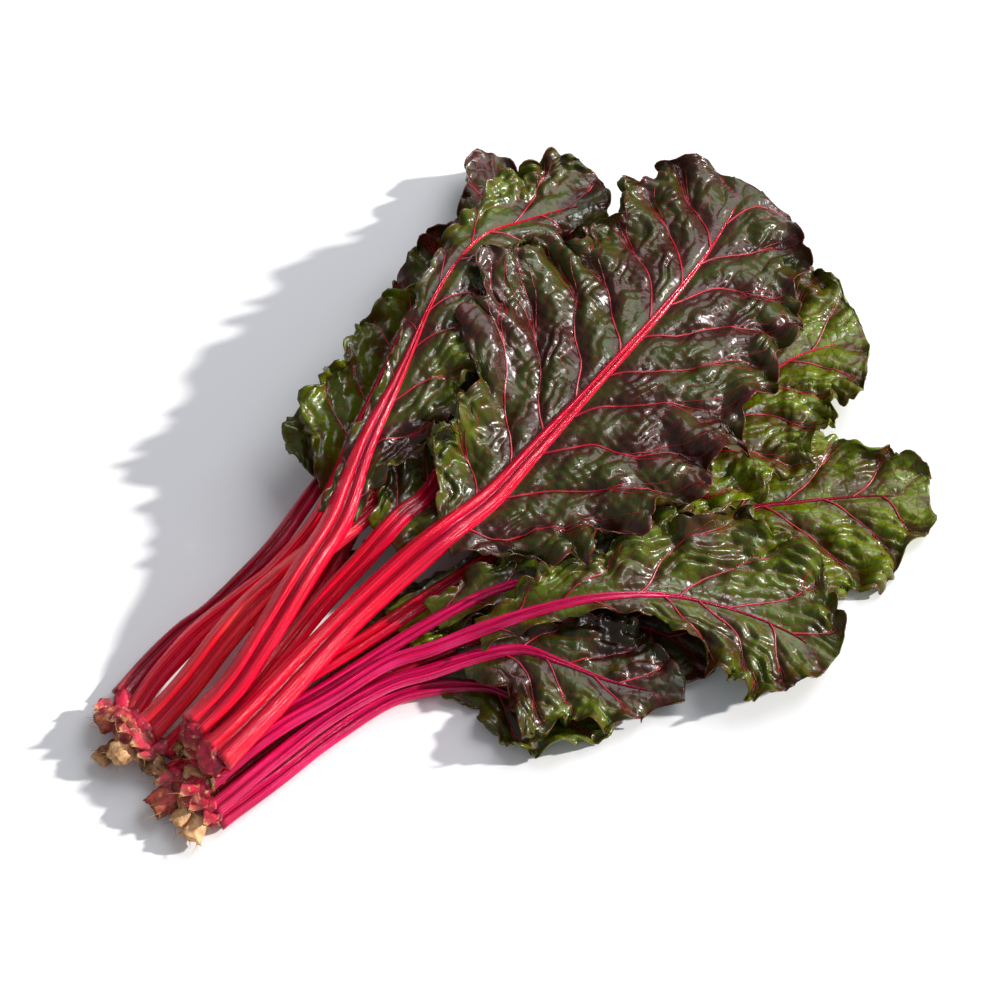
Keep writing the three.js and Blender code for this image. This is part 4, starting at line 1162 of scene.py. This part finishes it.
def torn_tissue():
    """Torn crown tissue: dusty red where fresh, brown and dull where dried, tan where it was cut."""
    material, tree, shader = new_material("chard_crown_tissue", Roughness=0.55, Specular_IOR_Level=0.35)
    place = add_node(tree, "TexCoord").outputs["Object"]

    def patchy(scale, low, high, a, b):
        tone = add_node(tree, "TexNoise", Vector=place, Scale=scale, Detail=5.0).outputs[0]
        share = add_node(tree, "MapRange", Value=tone, i1=low, i2=high).outputs[0]
        return add_node(tree, "Mix", {"data_type": "RGBA"}, i0=share, i6=a, i7=b).outputs[2]

    fresh = patchy(190.0, 0.4, 0.62, srgb("#d02044"), srgb("#741022"))
    dried = patchy(260.0, 0.38, 0.64, srgb("#a4743e"), srgb("#4a2814"))
    red, face = (
        add_node(tree, "Attribute", {"attribute_name": title}).outputs["Fac"] for title in ("red", "face")
    )
    colour = add_node(tree, "Mix", {"data_type": "RGBA"}, i0=red, i6=dried, i7=fresh).outputs[2]
    colour = patchy(330.0, 0.59, 0.68, colour, srgb("#d09468"))
    cut = patchy(330.0, 0.44, 0.66, srgb("#ffd29a"), srgb("#cc8e58"))
    colour = add_node(tree, "Mix", {"data_type": "RGBA"}, i0=face, i6=colour, i7=cut).outputs[2]
    tree.links.new(colour, shader.inputs["Base Color"])
    relief = add_node(tree, "TexNoise", Vector=place, Scale=700.0, Detail=4.0).outputs[0]
    bump = add_node(tree, "Bump", Height=relief, Strength=0.7, Distance=0.0006).outputs[0]
    tree.links.new(bump, shader.inputs["Normal"])
    return material


def crown_bit(kind, start, end, radii, seed):
    """One closed bit of a crown: rings from start to end, then a dished and ragged end face."""
    red, pale, flatness, bend, rough = BITS[kind]
    start, end = np.array(start, float), np.array(end, float)
    length = np.linalg.norm(end - start)
    forward = (end - start) / length
    sideways = np.cross([0, 0, 1.0], forward)
    sideways = sideways / np.linalg.norm(sideways)
    upward = np.cross(forward, sideways)
    t = np.concatenate([np.linspace(0, 1, BIT_ROWS), np.ones(len(FACE_RINGS))])[:, None]
    shrink = np.concatenate([np.ones(BIT_ROWS), FACE_RINGS])[:, None]
    turn = 2 * np.pi * np.arange(BIT_SIDES) / BIT_SIDES
    radius = evenly(radii, t) * (1 + 0.06 * np.sin(5 * turn + seed))
    around = turn * np.mean(radii)
    radius = radius * (1 + rough * wander(around, t * length, 4.5, seed) * np.sin(turn / 2))
    radius = radius * (1 + 0.6 * rough * np.cos(turn * 7 + 9 * t + seed)) * shrink
    ragged = 0.9 * wander(around, 0 * around, 5, seed + 1) * (t > 0.99) * shrink - 1.6 * (1 - shrink)
    at = t * length + ragged
    lift = bend * length * t**2 * flatness
    hollow = 0.3 * np.cos(turn) ** 2 * radius if flatness < 0.5 else 0
    places = start + at[..., None] * forward + (radius * np.cos(turn))[..., None] * sideways
    places = places + (radius * flatness * np.sin(turn) + lift + hollow)[..., None] * upward
    places[..., 2] = np.maximum(places[..., 2], CROWN_DROP)
    rows, n = places.shape[:2]
    grid = np.arange(rows * n).reshape(rows, n)
    after = np.roll(grid, -1, axis=1)
    faces = np.stack([grid[:-1], after[:-1], after[1:], grid[1:]], -1).reshape(-1, 4).tolist()
    faces += [grid[0][::-1].tolist(), grid[-1].tolist()]
    trimmed = kind in ("stub", "root", "fresh", "oval")
    cut = pale + (0.9 - pale) * (shrink < 0.95) if trimmed else 0.7 * np.clip((t - 0.8) / 0.2, 0, 1)
    cut = np.broadcast_to(cut, (rows, n))
    skin = np.broadcast_to(red * np.clip(1.6 - 1.1 * t, 0, 1), (rows, n))
    return places.reshape(-1, 3), faces, skin.ravel(), cut.ravel()


def build_crown(name, crown, seed, skin):
    """Gathers the bits of a crown, with a torn collar on the end of each of its stalks."""
    bits = list(crown["bits"])
    for leaf in LEAVES:
        if leaf["name"] in crown["stalks"]:
            ring = leaf["stalk_places"][0]
            middle = ring.mean(0)
            half = 0.5 * leaf["width"][0]
            end = middle + 0.55 * (np.array(crown["towards"]) - middle)
            root = middle + 3.0 * np.append(leaf["path"].along(0.0), 0)
            bits.append(("collar", root, end, (0.9 * half, 1.12 * half, 1.1 * half, 0.6 * half)))
    points, faces, red, face = [], [], [], []
    for order, (kind, start, end, radii) in enumerate(bits):
        places, sides, skins, cuts = crown_bit(kind, start, end, radii, seed + 7 * order)
        first = sum(len(p) for p in points)
        faces += [[first + k for k in corners] for corners in sides]
        points.append(places)
        red.append(skins)
        face.append(cuts)
    facts = {"red": np.concatenate(red), "face": np.concatenate(face)}
    make_piece(name + "_fine", np.vstack(points), faces, facts, skin, name)
    return np.vstack(points)


def rootlet_skin():
    """Dried rootlets: dull tan threads."""
    material, _, shader = new_material("chard_rootlets", Roughness=0.8)
    shader.inputs["Base Color"].default_value = srgb("#b48a58")
    return material


def rootlet_lines(points, seed):
    """Short curling threads that start on the outer skin of a crown."""
    draw = np.random.default_rng(seed)
    middle = points.mean(0)
    outer = points[points[:, 0] < middle[0] - 3]
    lines = []
    for start in outer[draw.integers(0, len(outer), ROOTLETS)]:
        way = (start - middle) / np.linalg.norm(start - middle) + draw.normal(0, 0.5, 3)
        curl = draw.normal(0, 0.35, 3)
        reach = draw.uniform(*ROOTLET_LENGTH)
        t = np.linspace(0, 1, 6)[:, None]
        line = start + reach * (t * way * 0.7 + t**2 * curl)
        line[:, 2] = np.maximum(line[:, 2], 0.15)
        line[:, 0] = np.maximum(line[:, 0], CROWN_LEAST_X)
        lines.append((line, ROOTLET_RADIUS * (1 - 0.6 * t[:, 0])))
    return lines


torn_skin, thread_skin = torn_tissue(), rootlet_skin()
for order, (name, crown) in enumerate(CROWNS.items()):
    surface = build_crown(name, crown, 300 + 40 * order, torn_skin)
    lines = rootlet_lines(surface, 500 + order)
    build_cords("rootlets_" + name + "_fine", lines, ROOTLET_SIDES, sweep_tree, thread_skin)


# ---------------------------------------------------------------- table, light and camera
# A plain pale table and a long lens looking down. A low sun-like lamp from the right throws the
# shadow, a soft box fills it, and a small card gives the wet skin its shine.

def plain_material(name, colour, roughness):
    material, _, shader = new_material(name, Roughness=roughness)
    shader.inputs["Base Color"].default_value = srgb(colour)
    return material


bpy.ops.mesh.primitive_plane_add(size=6.0, location=(0, 0, -0.0002))
table = bpy.context.object
table.name = "table"
table.data.materials.append(plain_material("white_table", "#f4f4f6", 0.9))

VIEW_TURN = math.radians(42)
VIEW_DOWN = math.radians(65)
VIEW_DISTANCE = 1.4
MM_PER_PIXEL = 0.48
IMAGE_PIXELS = 1001


def in_bunch(right, away, up):
    """Turns the picture's right, away and up into the bunch's own axes."""
    c, s = math.cos(VIEW_TURN), math.sin(VIEW_TURN)
    return Vector((right * c + away * s, -right * s + away * c, up))


camera_data = bpy.data.cameras.new("camera")
camera_data.sensor_width = 36
camera_data.lens = 36 * (1000 * VIEW_DISTANCE / MM_PER_PIXEL) / IMAGE_PIXELS
camera_data.clip_end = 20
camera = bpy.data.objects.new("camera", camera_data)
bpy.context.scene.collection.objects.link(camera)
target = Vector((-BUNCH_CENTRE[0], -BUNCH_CENTRE[1], 20)) * 0.001
back = in_bunch(0, -math.cos(VIEW_DOWN), math.sin(VIEW_DOWN))
right = in_bunch(1, 0, 0)
turn = Matrix((right, back.cross(right), back)).transposed()
camera.matrix_world = Matrix.Translation(target + back * VIEW_DISTANCE) @ turn.to_4x4()
bpy.context.scene.camera = camera

def add_light(name, kind, energy, place, **settings):
    """A lamp at this place, shining at the bunch. A sun shines from that side, however far off."""
    data = bpy.data.lights.new(name, kind)
    data.energy = energy
    for key, value in settings.items():
        setattr(data, key, value)
    lamp = bpy.data.objects.new(name, data)
    bpy.context.scene.collection.objects.link(lamp)
    lamp.location = place
    lamp.rotation_mode = "QUATERNION"
    lamp.rotation_quaternion = place.to_track_quat("Z", "Y")
    return lamp


SUN_TURN = math.radians(10)
SUN_HEIGHT = math.radians(27)
towards_sun = in_bunch(math.cos(SUN_TURN), math.sin(SUN_TURN), math.tan(SUN_HEIGHT))
add_light("key_light", "SUN", 4.6, towards_sun, angle=math.radians(2.5), color=(1.0, 0.97, 0.93))
add_light("soft_box", "AREA", 13.0, in_bunch(0.7, 0.75, 1.25), size=1.0, color=(0.97, 0.98, 1.0))
card = add_light("shine_card", "AREA", 13.0, 1.6 * in_bunch(0.567, -0.206, 0.797), size=0.35)
card.visible_diffuse = False

world = bpy.data.worlds.new("studio")
bpy.context.scene.world = world
world.use_nodes = True
background = world.node_tree.nodes["Background"]
background.inputs["Color"].default_value = (0.91, 0.94, 1.0, 1.0)
background.inputs["Strength"].default_value = 0.33
bpy.context.scene.view_settings.view_transform = "Standard"

bpy.context.view_layer.update()
